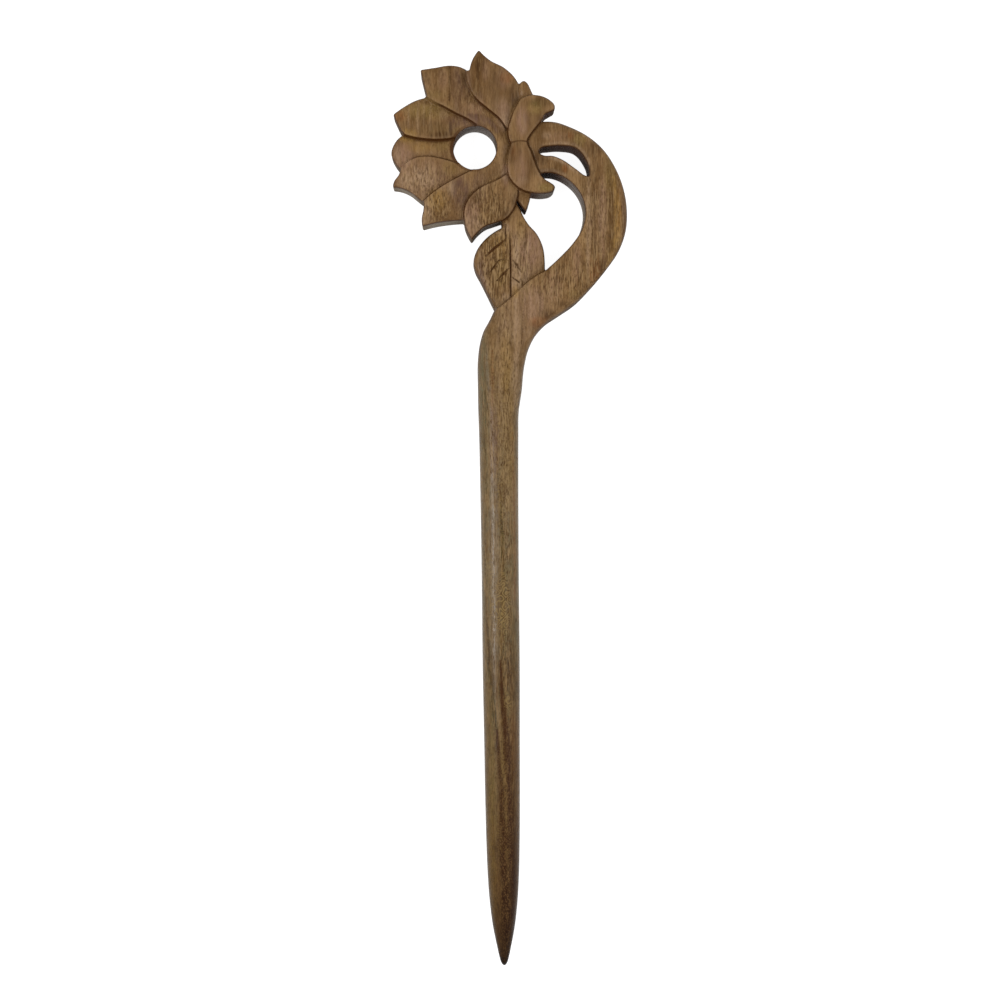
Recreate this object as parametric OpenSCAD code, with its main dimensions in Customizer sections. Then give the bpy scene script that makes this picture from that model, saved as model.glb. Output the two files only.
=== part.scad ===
// Carved walnut hair stick: an openwork head with a flower, its calyx, a curling
// stem and a leaf, and a round tapered shaft, all cut from one board.
// Millimetres. The stick lies on its flat back: the carving faces +Z, the flower
// is at the +Y end, the tip of the shaft at the -Y end. The origin is the middle
// of the length and the width, on the back.

/* [Plan] */
// Length over all, from the top petal to the tip of the shaft
length = 184; // [150:1:220]
// Radius of the through hole in the flower
eye_r = 4.5; // [3.5:0.1:4.8]

/* [Heights] */
// Thickness of the board, which is the height of the calyx
board_t = 8.6; // [8.2:0.1:10]
// Height of the stem, and diameter of the shaft where it leaves the stem
stem_h = 8; // [7.6:0.1:8.2]
// Height of the leaf at its midrib
leaf_h = 7.3; // [6.8:0.1:7.5]
// Fall of each half of the leaf from the midrib to its edge, in degrees
leaf_fall = 7; // [3:0.5:10]
// Height of the two small petal tips behind the calyx
tip_h = 7.4; // [6.8:0.1:7.6]

/* [Carved lines] */
// How deep the lines round the petals reach below the lower petal
line_depth = 0.5; // [0.2:0.1:0.8]
// How deep the veins of the leaf are cut
vein_depth = 0.6; // [0.2:0.1:1]

/* [Finish] */
// Straight pieces in each curved step of an outline
steps = 4; // [3:1:6]

/* [Hidden] */
$fn = 64;

drawn_length = 184;
drawn_stem_h = 8;
k = length / drawn_length;
eye = [-7.1, 72.8] * k;
far = 60;
// Straight pieces in each step of a carved line
line_steps = 3;
walnut = [0.47, 0.37, 0.26];
walnut_light = [0.55, 0.43, 0.33];
walnut_dark = [0.40, 0.30, 0.20];

// Each petal's top is a plane. Columns: height over the middle of the eye,
// fall in degrees, and the direction that it falls towards, from +X.
slope_top = [8.8, 8, 23];
slope_upper = [8.5, 7.6, 55];
slope_left_upper = [7.9, 5.7, 129];
slope_left = [7.3, 5.3, 180];
slope_left_lower = [7.9, 5.7, -129];
slope_lower = [8.5, 7.6, -55];
slope_bottom = [8.8, 6, -30];

// The two halves of the leaf's top fall away from these two points
leaf_crest_left = [0, 50] * k;
leaf_crest_right = [0.6, 50] * k;
// The veins lie on the falling halves, so they reach this much lower
vein_drop = 0.1;

// Height of the lower surface beside each carved line
beside_upper = 7.4;
beside_left_upper = 7;
beside_left = 6.4;
beside_left_lower = 7;
beside_lower = 7.4;
beside_calyx = 7.6;
beside_leaf_edge = 6.6;
beside_leaf_top = 7;

// Outlines, drawn for a length of 184. Columns: x, y, and 1 at a corner or 0
// on a smooth curve. A stretch that another sub-part covers is left straight.
petal_top_rows = [
    [-8.8, 88.1, 1], [-8.0, 88.4, 1], [-7.4, 90.2, 0], [-6.1, 92.0, 1],
    [-4.0, 90.4, 0], [-1.4, 88.9, 0], [0.6, 86.9, 0], [1.7, 85.4, 1],
    [2.2, 82.6, 0], [3.0, 77.6, 1], [-0.5, 76.7, 1], [-2.0, 78.8, 0],
    [-4.4, 80.8, 0], [-7.0, 83.1, 0], [-8.2, 85.4, 0]
];
petal_upper_rows = [
    [-17.8, 88.2, 1], [-15.0, 88.8, 0], [-12.0, 89.2, 0], [-10.4, 89.1, 0],
    [-8.8, 88.2, 1], [-5.0, 84.0, 1], [1.5, 78.0, 1], [2.0, 72.8, 1],
    [-7.1, 72.8, 1], [-6.6, 77.5, 1], [-8.0, 78.5, 0], [-10.6, 79.8, 0],
    [-13.0, 81.1, 0], [-15.0, 82.1, 0], [-16.8, 83.3, 1], [-17.5, 85.6, 0]
];
petal_left_upper_rows = [
    [-16.8, 83.1, 1], [-19.1, 82.2, 0], [-21.1, 81.1, 0], [-22.7, 80.2, 0],
    [-23.1, 79.5, 0], [-22.9, 78.3, 0], [-22.1, 76.4, 1], [-21.2, 75.9, 0],
    [-19.4, 75.3, 0], [-17.0, 74.9, 0], [-13.0, 74.8, 0], [-11.0, 75.1, 1],
    [-7.1, 72.8, 1], [-6.0, 78.5, 1], [-15.0, 84.0, 1]
];
petal_left_rows = [
    [-20.0, 77.0, 1], [-22.0, 75.3, 1], [-23.3, 73.5, 0], [-23.6, 71.9, 0],
    [-23.2, 70.2, 0], [-22.0, 68.9, 1], [-19.0, 67.0, 1], [-7.1, 70.0, 1],
    [-7.1, 76.0, 1]
];
petal_left_lower_rows = [
    [-21.9, 69.0, 1], [-20.0, 70.5, 0], [-18.4, 71.1, 0], [-16.5, 71.2, 0],
    [-14.0, 70.8, 0], [-10.5, 69.7, 1], [-7.1, 72.8, 1], [-6.0, 66.0, 1],
    [-16.0, 60.0, 1], [-17.2, 62.3, 1], [-18.0, 63.1, 0], [-20.0, 64.4, 0],
    [-21.2, 65.1, 0], [-23.2, 65.4, 1], [-22.8, 66.4, 0], [-22.1, 67.5, 0]
];
petal_lower_rows = [
    [-17.2, 62.2, 1], [-15.4, 63.8, 0], [-12.4, 65.8, 0], [-9.2, 67.5, 0],
    [-7.4, 68.4, 1], [-7.1, 72.8, 1], [2.0, 72.8, 1], [1.5, 66.0, 1],
    [-5.0, 61.0, 1], [-9.2, 58.5, 1], [-12.0, 58.2, 0], [-15.4, 57.9, 0],
    [-16.2, 57.4, 0], [-17.2, 57.4, 0], [-17.5, 58.2, 0], [-17.2, 59.9, 0]
];
petal_bottom_rows = [
    [-9.1, 58.5, 0], [-9.1, 57.2, 0], [-8.6, 55.9, 0], [-8.0, 54.9, 0],
    [-7.4, 54.9, 0], [-6.0, 56.6, 0], [-5.0, 57.5, 0], [-3.0, 58.2, 0],
    [-1.0, 58.9, 0], [0.2, 60.0, 0], [1.0, 61.5, 0], [1.5, 63.3, 0],
    [1.6, 64.7, 1], [2.5, 66.0, 1], [0.0, 68.5, 1], [-1.0, 67.3, 1],
    [-1.8, 66.9, 0], [-2.8, 65.6, 0], [-5.8, 64.3, 0], [-7.4, 63.1, 0],
    [-8.6, 61.5, 0], [-9.1, 60.0, 0]
];
tip_upper_rows = [
    [1.2, 85.0, 1], [2.3, 85.9, 0], [2.8, 86.1, 0], [3.3, 85.8, 0],
    [4.0, 84.6, 0], [4.8, 83.0, 1], [4.8, 80.0, 1], [1.2, 80.0, 1]
];
tip_lower_rows = [
    [0.8, 62.4, 1], [0.8, 66.0, 1], [3.9, 66.0, 1], [4.0, 62.6, 0],
    [3.7, 61.5, 0], [3.2, 60.3, 1], [2.5, 61.2, 0], [1.6, 62.4, 1]
];
calyx_rows = [
    [0.3, 73.6, 1], [-0.2, 74.8, 0], [-0.3, 76.4, 0], [0.2, 78.3, 0],
    [1.0, 80.4, 0], [2.2, 82.5, 1], [4.6, 83.2, 0], [6.2, 83.0, 0],
    [8.0, 82.0, 0], [8.8, 81.2, 0], [8.8, 80.6, 0], [8.2, 80.2, 0],
    [7.0, 79.6, 0], [6.6, 78.7, 0], [5.4, 77.2, 0], [4.0, 75.4, 0],
    [3.4, 74.3, 0], [3.5, 73.3, 0], [4.1, 72.1, 0], [4.7, 70.4, 0],
    [5.7, 68.0, 0], [7.0, 66.4, 0], [8.0, 65.8, 0], [9.0, 64.8, 0],
    [8.4, 64.0, 0], [7.2, 63.7, 0], [4.6, 63.8, 0], [2.8, 64.3, 0],
    [0.9, 65.6, 0], [-0.2, 67.3, 0], [-0.4, 69.3, 0], [-0.2, 71.6, 0]
];
leaf_rows = [
    [-1.2, 60.5, 1], [1.5, 61.0, 1], [2.5, 59.2, 0], [3.4, 57.7, 0],
    [5.3, 55.6, 0], [6.6, 52.7, 0], [6.9, 50.4, 0], [6.9, 48.0, 1],
    [5.0, 44.0, 1], [0.0, 39.0, 1], [-2.9, 40.6, 1], [-4.4, 43.7, 0],
    [-5.8, 46.5, 0], [-6.8, 48.4, 0], [-7.2, 50.2, 0], [-6.8, 52.1, 0],
    [-5.0, 54.7, 0], [-3.6, 55.8, 0], [-1.2, 57.0, 1]
];
stem_rows = [
    [1.5, 76.5, 1], [6.4, 78.1, 1], [9.1, 77.9, 0], [12.1, 76.9, 0],
    [15.2, 75.3, 0], [18.1, 72.8, 0], [21.1, 68.7, 0], [22.8, 64.3, 0],
    [23.4, 59.9, 0], [23.1, 56.0, 0], [21.8, 52.4, 0], [19.2, 48.5, 0],
    [16.1, 44.8, 0], [13.1, 41.8, 0], [9.6, 39.4, 0], [7.1, 37.6, 0],
    [5.1, 35.2, 0], [3.7, 32.4, 0], [2.9, 29.0, 0], [2.4, 24.0, 0],
    [2.2, 20.0, 1], [6.0, 20.0, 1], [6.0, -93.0, 1], [-9.0, -93.0, 1],
    [-9.0, 20.0, 1], [-6.2, 20.0, 1], [-6.3, 25.0, 0], [-6.3, 30.2, 0],
    [-5.9, 33.6, 0], [-5.2, 36.0, 0],
    [-4.0, 38.2, 0], [-3.1, 40.1, 1], [-1.0, 41.7, 0], [0.8, 43.2, 0],
    [2.0, 44.4, 0], [4.0, 46.2, 0], [7.0, 48.1, 1], [10.1, 50.6, 0],
    [13.1, 53.4, 0], [14.7, 56.3, 0], [15.1, 60.2, 0], [14.1, 63.9, 0],
    [12.3, 66.4, 0], [10.0, 67.7, 0], [8.5, 68.0, 0], [5.9, 67.8, 1],
    [1.5, 67.8, 1]
];
slot_rows = [
    [5.7, 72.0, 0], [6.2, 72.8, 0], [8.0, 73.2, 0], [10.6, 73.3, 0],
    [13.2, 72.8, 0], [15.2, 70.6, 0], [16.0, 68.4, 0], [15.8, 66.9, 0],
    [15.3, 66.8, 0], [13.2, 68.2, 0], [10.4, 70.2, 0], [8.6, 70.9, 0],
    [6.6, 71.1, 0]
];

// Carved lines, drawn for a length of 184. Columns: x, y and width.
line_top_upper = [
    [-9.0, 88.6, 0.6], [-8.6, 85.6, 0.6], [-7.2, 82.9, 0.6], [-4.6, 80.6, 0.6],
    [-2.2, 78.6, 0.5], [-0.5, 76.5, 0.3]
];
line_upper_left = [
    [-17.4, 83.2, 0.8], [-15.2, 82.0, 0.7], [-10.7, 79.6, 0.6], [-6.4, 77.0, 0.5]
];
line_left_upper = [
    [-23.0, 76.2, 0.8], [-21.2, 75.7, 0.7], [-17.5, 74.7, 0.7], [-13.5, 74.6, 0.6],
    [-10.8, 75.0, 0.5]
];
line_left_lower = [
    [-22.6, 69.0, 0.7], [-20.0, 70.6, 0.6], [-17.0, 71.3, 0.6], [-14.0, 70.9, 0.6],
    [-10.4, 69.6, 0.5]
];
line_lower_left = [
    [-18.0, 61.6, 0.7], [-15.4, 63.9, 0.6], [-12.4, 65.9, 0.6], [-7.2, 68.8, 0.5]
];
line_bottom_lower = [
    [-9.3, 57.6, 0.6], [-9.2, 60.0, 0.6], [-7.6, 63.2, 0.6], [-5.9, 64.4, 0.6],
    [-2.9, 65.8, 0.5], [-0.8, 67.6, 0.3]
];
line_calyx = [
    [1.9, 82.8, 0.6], [0.7, 80.3, 0.5], [-0.1, 78.2, 0.5], [-0.6, 76.2, 0.4],
    [-0.4, 74.6, 0.5], [0.2, 73.4, 0.5], [-0.5, 71.4, 0.5], [-0.7, 69.2, 0.5],
    [-0.4, 67.1, 0.5], [0.7, 65.4, 0.6], [2.7, 64.0, 0.7], [5.0, 63.4, 0.5]
];
line_sepal = [
    [7.4, 79.2, 0.8], [5.6, 77.1, 0.6], [4.2, 75.3, 0.6], [3.6, 74.2, 0.6],
    [3.7, 73.3, 0.6], [4.3, 72.1, 0.6], [4.9, 70.4, 0.5], [5.9, 68.0, 0.6],
    [6.9, 66.9, 0.6]
];
line_waist = [[0.1, 73.6, 0.5], [1.8, 73.8, 0.5], [3.7, 73.6, 0.5]];
line_leaf_stem = [
    [7.3, 48.9, 0.6], [4.0, 46.4, 0.5], [2.0, 44.6, 0.5], [-1.1, 41.9, 0.5],
    [-3.4, 40.4, 0.6]
];
line_leaf_petal = [
    [-1.8, 58.2, 0.6], [0.3, 59.8, 0.6], [1.0, 60.9, 0.7]
];
midrib = [
    [-0.1, 57.2, 0.5], [-0.1, 52.0, 0.5], [0.2, 47.5, 0.5], [0.3, 43.4, 0.4]
];
veins = [
    [[-0.6, 55.2, 0.3], [-2.6, 53.8, 0.5], [-4.8, 51.2, 0.3]],
    [[-0.7, 50.8, 0.3], [-2.4, 50.1, 0.4], [-4.6, 47.4, 0.3]],
    [[-0.8, 48.4, 0.3], [-1.6, 47.2, 0.5], [-3.2, 45.4, 0.3]],
    [[0.5, 51.6, 0.3], [1.4, 49.8, 0.4], [2.4, 47.8, 0.3]],
    [[0.6, 47.4, 0.3], [2.4, 46.2, 0.3]]
];

// Shaft. Columns: y along the shaft and radius.
shaft_rows = [
    [40.0, 14.0], [37.0, 10.4], [34.0, 7.4], [31.0, 5.8], [28.0, 4.9],
    [24.0, 4.3], [20.0, 4.03], [15.0, 3.9], [10.0, 3.82], [-2.0, 3.73],
    [-28.0, 3.62], [-46.0, 3.52], [-59.0, 3.4], [-67.5, 3.2], [-73.5, 3.0],
    [-79.0, 2.65], [-84.5, 1.98], [-88.4, 1.25], [-90.6, 0.8], [-91.6, 0.45],
    [-92.0, 0.0]
];
// The shaft leans a little to the right on its way down. Its line crosses the
// middle of the length at shaft_x.
shaft_x = -1.88;
shaft_lean = 0.54;
round_start = 37;

function spot(row) = [row[0], row[1]] * k;
function unit(v) = v / max(norm(v), 0.001);

// Direction of a smooth curve at b, on its way from a to c
function heading(a, b, c) =
    unit(unit(b - a) * norm(c - b) + unit(c - b) * norm(b - a));

// Direction at a corner, so that the piece of curve is close to an arc
function mirrored(along, t) = 2 * along * (along * t) - t;

// Point at t, from 0 to 1, on the curve from a to b
function between(a, ta, b, tb, t) =
    let (s = norm(b - a))
    a * (2 * t ^ 3 - 3 * t ^ 2 + 1) + ta * s * (t ^ 3 - 2 * t ^ 2 + t)
    + b * (3 * t ^ 2 - 2 * t ^ 3) + tb * s * (t ^ 3 - t ^ 2);

// Closed outline through the rows of a table
function outline(rows) = [
    for (i = [0 : len(rows) - 1])
        let (
            n = len(rows),
            a = spot(rows[i]),
            b = spot(rows[(i + 1) % n]),
            corner_a = rows[i][2] == 1,
            corner_b = rows[(i + 1) % n][2] == 1,
            along = unit(b - a),
            free_a = heading(spot(rows[(i + n - 1) % n]), a, b),
            free_b = heading(a, b, spot(rows[(i + 2) % n])),
            ta = corner_a ? (corner_b ? along : mirrored(along, free_b)) : free_a,
            tb = corner_b ? (corner_a ? along : mirrored(along, free_a)) : free_b,
            count = corner_a && corner_b ? 1 : steps
        )
        for (j = [0 : count - 1]) between(a, ta, b, tb, j / count)
];

// Open curve through the rows of a carved line. Each point is x, y, width.
function path(rows) = [
    for (i = [0 : len(rows) - 2])
        let (
            last = len(rows) - 2,
            a = spot(rows[i]),
            b = spot(rows[i + 1]),
            along = unit(b - a),
            ta = i == 0 ? along : heading(spot(rows[i - 1]), a, b),
            tb = i == last ? along : heading(a, b, spot(rows[i + 2]))
        )
        for (j = [0 : i == last ? line_steps : line_steps - 1])
            let (t = j / line_steps, p = between(a, ta, b, tb, t))
            [p[0], p[1], (rows[i][2] * (1 - t) + rows[i + 1][2] * t) * k]
];

// Band along a carved line, as wide as its rows say
function band(rows) =
    let (
        p = path(rows),
        n = len(p),
        side = [
            for (i = [0 : n - 1])
                let (
                    a = p[max(i - 1, 0)],
                    b = p[min(i + 1, n - 1)],
                    d = unit([b[0] - a[0], b[1] - a[1]])
                )
                [-d[1], d[0]]
        ]
    )
    concat(
        [for (i = [0 : n - 1]) [p[i][0], p[i][1]] + side[i] * p[i][2] / 2],
        [for (i = [n - 1 : -1 : 0]) [p[i][0], p[i][1]] - side[i] * p[i][2] / 2]
    );

// Everything below a plane that has height h over a point and falls one way
module below(at, h, fall, toward) {
    translate([at[0], at[1], h])
        rotate([0, 0, toward])
            rotate([0, fall, 0])
                translate([-far, -far, -far])
                    cube([2 * far, 2 * far, far]);
}

module slab(rows, h) {
    linear_extrude(height = h) polygon(outline(rows));
}

// Cut along a carved line, down to the height floor_z
module carved(rows, floor_z) {
    translate([0, 0, floor_z]) linear_extrude(height = board_t) polygon(band(rows));
}

module petal(rows, slope, tone) {
    color(tone)
        intersection() {
            slab(rows, board_t);
            below(eye, slope[0], slope[1], slope[2]);
        }
}

module petals() {
    petal(petal_top_rows, slope_top, walnut_light);
    petal(petal_upper_rows, slope_upper, walnut);
    petal(petal_left_upper_rows, slope_left_upper, walnut);
    petal(petal_left_rows, slope_left, walnut_dark);
    petal(petal_left_lower_rows, slope_left_lower, walnut);
    petal(petal_lower_rows, slope_lower, walnut_light);
    petal(petal_bottom_rows, slope_bottom, walnut);
}

module petal_tips() {
    color(walnut_dark) slab(tip_upper_rows, tip_h);
    color(walnut) slab(tip_lower_rows, tip_h);
}

module calyx() {
    color(walnut_light) slab(calyx_rows, board_t);
}

module leaf() {
    color(walnut_dark)
        intersection() {
            slab(leaf_rows, leaf_h);
            below(leaf_crest_left, leaf_h, leaf_fall, 180);
            below(leaf_crest_right, leaf_h, leaf_fall, 0);
        }
}

// The shaft as a full round, flared at the top so that its sides run out into
// the edges of the stem
module round_shaft() {
    translate([shaft_x * k, 0, stem_h / 2])
        rotate([0, 0, shaft_lean])
            rotate([-90, 0, 0])
                rotate_extrude()
                    polygon(concat(
                        [[0, shaft_rows[0][0] * k]],
                        [for (row = shaft_rows) [row[1] * stem_h / drawn_stem_h, row[0] * k]]
                    ));
}

module stem_and_shaft() {
    color(walnut)
        intersection() {
            slab(stem_rows, stem_h);
            union() {
                translate([-far, round_start * k, -1]) cube([2 * far, far, 2 * board_t]);
                round_shaft();
            }
        }
}

// Lines between the petals, each cut a little below the lower petal beside it
module petal_lines() {
    carved(line_top_upper, beside_upper - line_depth);
    carved(line_upper_left, beside_left_upper - line_depth);
    carved(line_left_upper, beside_left - line_depth);
    carved(line_left_lower, beside_left - line_depth);
    carved(line_lower_left, beside_left_lower - line_depth);
    carved(line_bottom_lower, beside_lower - line_depth);
}

module calyx_lines() {
    carved(line_calyx, beside_calyx - line_depth);
    carved(line_sepal, stem_h - line_depth);
    carved(line_waist, board_t - line_depth);
}

module leaf_lines() {
    carved(line_leaf_stem, beside_leaf_edge - line_depth);
    carved(line_leaf_petal, beside_leaf_top - line_depth);
    carved(midrib, leaf_h - vein_depth);
    for (vein = veins) carved(vein, leaf_h - vein_depth - vein_drop);
}

module slot() {
    translate([0, 0, -1]) slab(slot_rows, board_t + 2);
}

module eye_hole() {
    translate([eye[0], eye[1], -1]) cylinder(h = board_t + 2, r = eye_r);
}

module hair_stick() {
    difference() {
        union() {
            petals();
            petal_tips();
            calyx();
            leaf();
            stem_and_shaft();
        }
        petal_lines();
        calyx_lines();
        leaf_lines();
        slot();
        eye_hole();
    }
}

hair_stick();
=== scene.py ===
# Looks of the carved walnut hair stick. The whole stick is one piece of wood, so
# one mesh replaces the CAD node: a carved face over the plan, walls and a back.
# The tables and the plan are in millimetres, in the frame of the CAD part.
import math

import bmesh
import bpy
import numpy as np
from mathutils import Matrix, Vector, noise
from mathutils.geometry import delaunay_2d_cdt


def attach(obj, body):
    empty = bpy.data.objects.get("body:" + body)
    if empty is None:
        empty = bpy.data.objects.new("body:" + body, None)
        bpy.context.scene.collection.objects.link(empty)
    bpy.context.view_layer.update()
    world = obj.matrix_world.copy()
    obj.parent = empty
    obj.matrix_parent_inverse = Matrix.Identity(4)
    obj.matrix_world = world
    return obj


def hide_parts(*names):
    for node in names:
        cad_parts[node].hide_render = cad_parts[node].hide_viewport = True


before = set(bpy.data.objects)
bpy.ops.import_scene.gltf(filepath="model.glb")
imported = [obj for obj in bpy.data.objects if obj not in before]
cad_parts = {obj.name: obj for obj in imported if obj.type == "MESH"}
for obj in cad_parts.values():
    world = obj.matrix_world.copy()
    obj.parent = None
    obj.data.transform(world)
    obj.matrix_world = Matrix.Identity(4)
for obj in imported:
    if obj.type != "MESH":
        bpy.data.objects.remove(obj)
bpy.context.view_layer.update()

MM = 0.001

# Sizes of the stick: its thickness, the height of the shaft's axis, the eye, the
# leaf's height between two values of x with its fall in degrees on both sides of
# them, and the height of the two small tips
BOARD = 8.6
AXIS_Z = 4.0
EYE = np.array([-7.0, 72.9])
EYE_R = 4.43
LEAF_TOP = 7.3
LEAF_FLAT = (0.0, 0.6)
LEAF_FALL = 7.0
TIP_TOP = 7.4

# Each petal's top falls away from the eye. Columns: height over the middle of
# the eye, fall in degrees, and the direction that it falls towards, from +X.
SLOPES = {
    "petal_top": (8.8, 8.0, 23.0),
    "petal_upper": (8.5, 7.6, 55.0),
    "petal_left_upper": (7.9, 5.7, 129.0),
    "petal_left": (7.3, 5.3, 180.0),
    "petal_left_lower": (7.9, 5.7, -129.0),
    "petal_lower": (8.5, 7.6, -55.0),
    "petal_bottom": (8.8, 6.0, -30.0),
}

# Two of the slopes belong to one piece, and meet in a ridge rounded this much
RIDGE = 0.2

# Outlines. Columns: x, y, and 1 at a corner.
OUTLINES = {
    "petal_left": [
        (-20, 77, 1), (-22, 75.4, 1), (-23.4, 73.6), (-23.8, 72), (-23.1, 70.2), (-21.8, 68.6, 1),
        (-19, 67, 1), (-7.1, 70, 1), (-7.1, 76, 1),
    ],
    "petal_left_upper": [
        (-16.8, 83.2, 1), (-19.1, 82.5), (-21.3, 81.3), (-23.4, 79.8, 1), (-22.7, 78.2),
        (-21.8, 76.4, 1), (-21.2, 75.9), (-19.4, 75.3), (-17, 74.9), (-13, 74.8), (-11, 75.1, 1),
        (-7.1, 72.8, 1), (-6, 78.5, 1), (-15, 84, 1),
    ],
    "petal_left_lower": [
        (-21.9, 68.8, 1), (-20, 70.5), (-18.4, 71.1), (-16.5, 71.2), (-14, 70.8), (-10.5, 69.7, 1),
        (-7.1, 72.8, 1), (-6, 66, 1), (-16, 60, 1), (-17.2, 62, 1), (-18.5, 63), (-20.2, 64.3),
        (-21.6, 64.9), (-23.5, 65.2, 1), (-23.2, 66.4), (-22.3, 67.6),
    ],
    "petal_pair": [
        (-17.9, 88.5, 1), (-15, 89), (-12, 89.5), (-10.2, 89.3), (-8.6, 88.6, 1), (-5, 84, 1),
        (1.5, 78, 1), (2, 72.8, 1), (1.5, 66, 1), (-5, 61, 1), (-9.2, 58.5, 1), (-12, 58.3),
        (-15.2, 57.8), (-17.5, 57.2, 1), (-17.6, 58.8), (-17.3, 60.2), (-17.2, 62.2, 1),
        (-15.4, 63.8), (-12.4, 65.8), (-9.2, 67.5), (-7.4, 68.4, 1), (-7.1, 72.8, 1),
        (-6.6, 77.5, 1), (-8, 78.5), (-10.6, 79.8), (-13, 81.1), (-15, 82.1), (-16.6, 83.2, 1),
        (-17.2, 85.6),
    ],
    "tip_upper": [
        (1.2, 85, 1), (2.3, 86.1), (2.8, 86.4), (3.4, 86), (4.1, 84.7), (4.9, 83, 1), (4.8, 80, 1),
        (1.2, 80, 1),
    ],
    "tip_lower": [
        (0.8, 62.4, 1), (0.8, 66, 1), (3.9, 66, 1), (4, 62.6), (3.7, 61.5), (3.2, 60.3, 1),
        (2.5, 61.2), (1.6, 62.4, 1),
    ],
    "leaf": [
        (-1.4, 60.5, 1), (0.6, 62, 1), (1.4, 61.7, 1), (2.2, 60.2), (2.9, 58.8), (3.7, 57.6),
        (5.4, 55.7), (6.7, 52.8), (7, 50.4), (7, 47.9, 1), (5, 44, 1), (0, 39, 1), (-2.9, 40.5, 1),
        (-4.4, 43.6), (-5.8, 46.4), (-6.8, 48.3), (-7.2, 50.2), (-6.7, 52.1), (-4.9, 54.6),
        (-3.6, 55.7), (-1.5, 56.9, 1),
    ],
    "petal_bottom": [
        (-9.1, 58.5), (-8.9, 57.2), (-8.4, 55.9), (-7.6, 54.5, 1), (-6.2, 56.2), (-4.9, 57.2),
        (-3, 57.9), (-1, 58.7), (0.2, 59.9), (1, 61.4), (1.5, 63.3), (1.6, 64.7, 1), (2.5, 66, 1),
        (0, 68.5, 1), (-0.5, 67.7, 1), (-2.8, 66.2), (-4.9, 65.3), (-7.3, 63.6), (-8.7, 61.6),
        (-9.1, 60),
    ],
    "petal_top": [
        (-8.8, 88.1, 1), (-8, 88.4, 1), (-7.5, 90.4), (-6.2, 92.5, 1), (-4, 90.5), (-1.2, 89.1),
        (0.9, 87.2), (1.8, 85.7, 1), (2.2, 82.6), (3, 77.6, 1), (-0.5, 76.7, 1), (-2, 78.8),
        (-4.4, 80.8), (-7, 83.1), (-8.2, 85.4),
    ],
    "calyx": [
        (0.3, 73.6, 1), (-0.2, 74.8), (-0.3, 76.4), (0.2, 78.3), (1, 80.4), (2.2, 82.5, 1),
        (4.7, 83.3), (6.3, 83.1), (8.2, 82.1), (8.9, 81.3), (8.9, 80.5), (8.2, 80.1), (7, 79.5),
        (6.6, 78.7), (5.4, 77.2), (4, 75.4), (3.4, 74.3), (3.5, 73.3), (4.1, 72.1), (4.7, 70.4),
        (5.7, 68), (7, 66.4), (8, 65.8), (9, 64.8), (8.4, 64), (7.2, 63.7), (4.6, 63.8),
        (2.8, 64.3), (0.9, 65.6), (-0.2, 67.3), (-0.4, 69.3), (-0.2, 71.6),
    ],
}

# The stem, from the calyx round to where the round shaft starts
STEM_RIGHT = [
    (1.5, 76.5, 1), (6.4, 78.1, 1), (9.1, 78), (12.1, 77), (15.3, 75.4), (18.3, 73), (21.2, 68.8),
    (22.9, 64.3), (23.5, 59.9), (23.2, 56), (21.9, 52.3), (19.3, 48.4), (16.2, 44.7), (13.2, 41.7),
    (9.7, 39.3), (7.1, 37.5), (5.1, 35.2), (3.7, 32.4), (2.9, 29), (2.4, 24),
]
STEM_LEFT = [
    (-6.3, 25), (-6.3, 30.2), (-5.9, 33.6), (-5.2, 36), (-4, 38.2), (-3.1, 40.1, 1), (-1, 41.7),
    (0.8, 43.2), (2, 44.4), (4, 46.2), (7, 48, 1), (10, 50.7), (12.7, 53.6), (14.5, 56.4),
    (15.2, 60.2), (14.1, 63.8), (12.1, 66.1), (9.9, 67.4), (8.5, 67.8), (5.9, 67.6, 1),
    (1.5, 67.6, 1),
]
SLOT = [
    (5.7, 72), (6.2, 72.8), (8, 73.2), (10.6, 73.3), (13.2, 72.8), (15.2, 70.6), (16, 68.4),
    (15.8, 67), (15.3, 67.1), (13.2, 68.5), (10.4, 70.4), (8.6, 71.1), (6.6, 71.3),
]

# Shaft. Columns: y along the shaft and radius.
SHAFT = [
    (20, 4.03), (15, 3.90), (10, 3.84), (-2, 3.74), (-14, 3.69),
    (-32, 3.68), (-46, 3.54), (-59, 3.43), (-67.5, 3.29), (-73.5, 3.10),
    (-79, 2.76), (-84.5, 2.10), (-88.4, 1.34), (-90.6, 0.86), (-91.6, 0.55),
    (-92.2, 0),
]

# Where the round shaft starts and where its point does, its middle at y = 0, and how
# far it leans, in degrees
SHAFT_START = SHAFT[0][0]
POINT_START = SHAFT[-5][0]
SHAFT_X = -1.98
SHAFT_LEAN = 0.60

# How far the wood reaches past the rows of the tables, all round
GROWTH = 0.08

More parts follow.
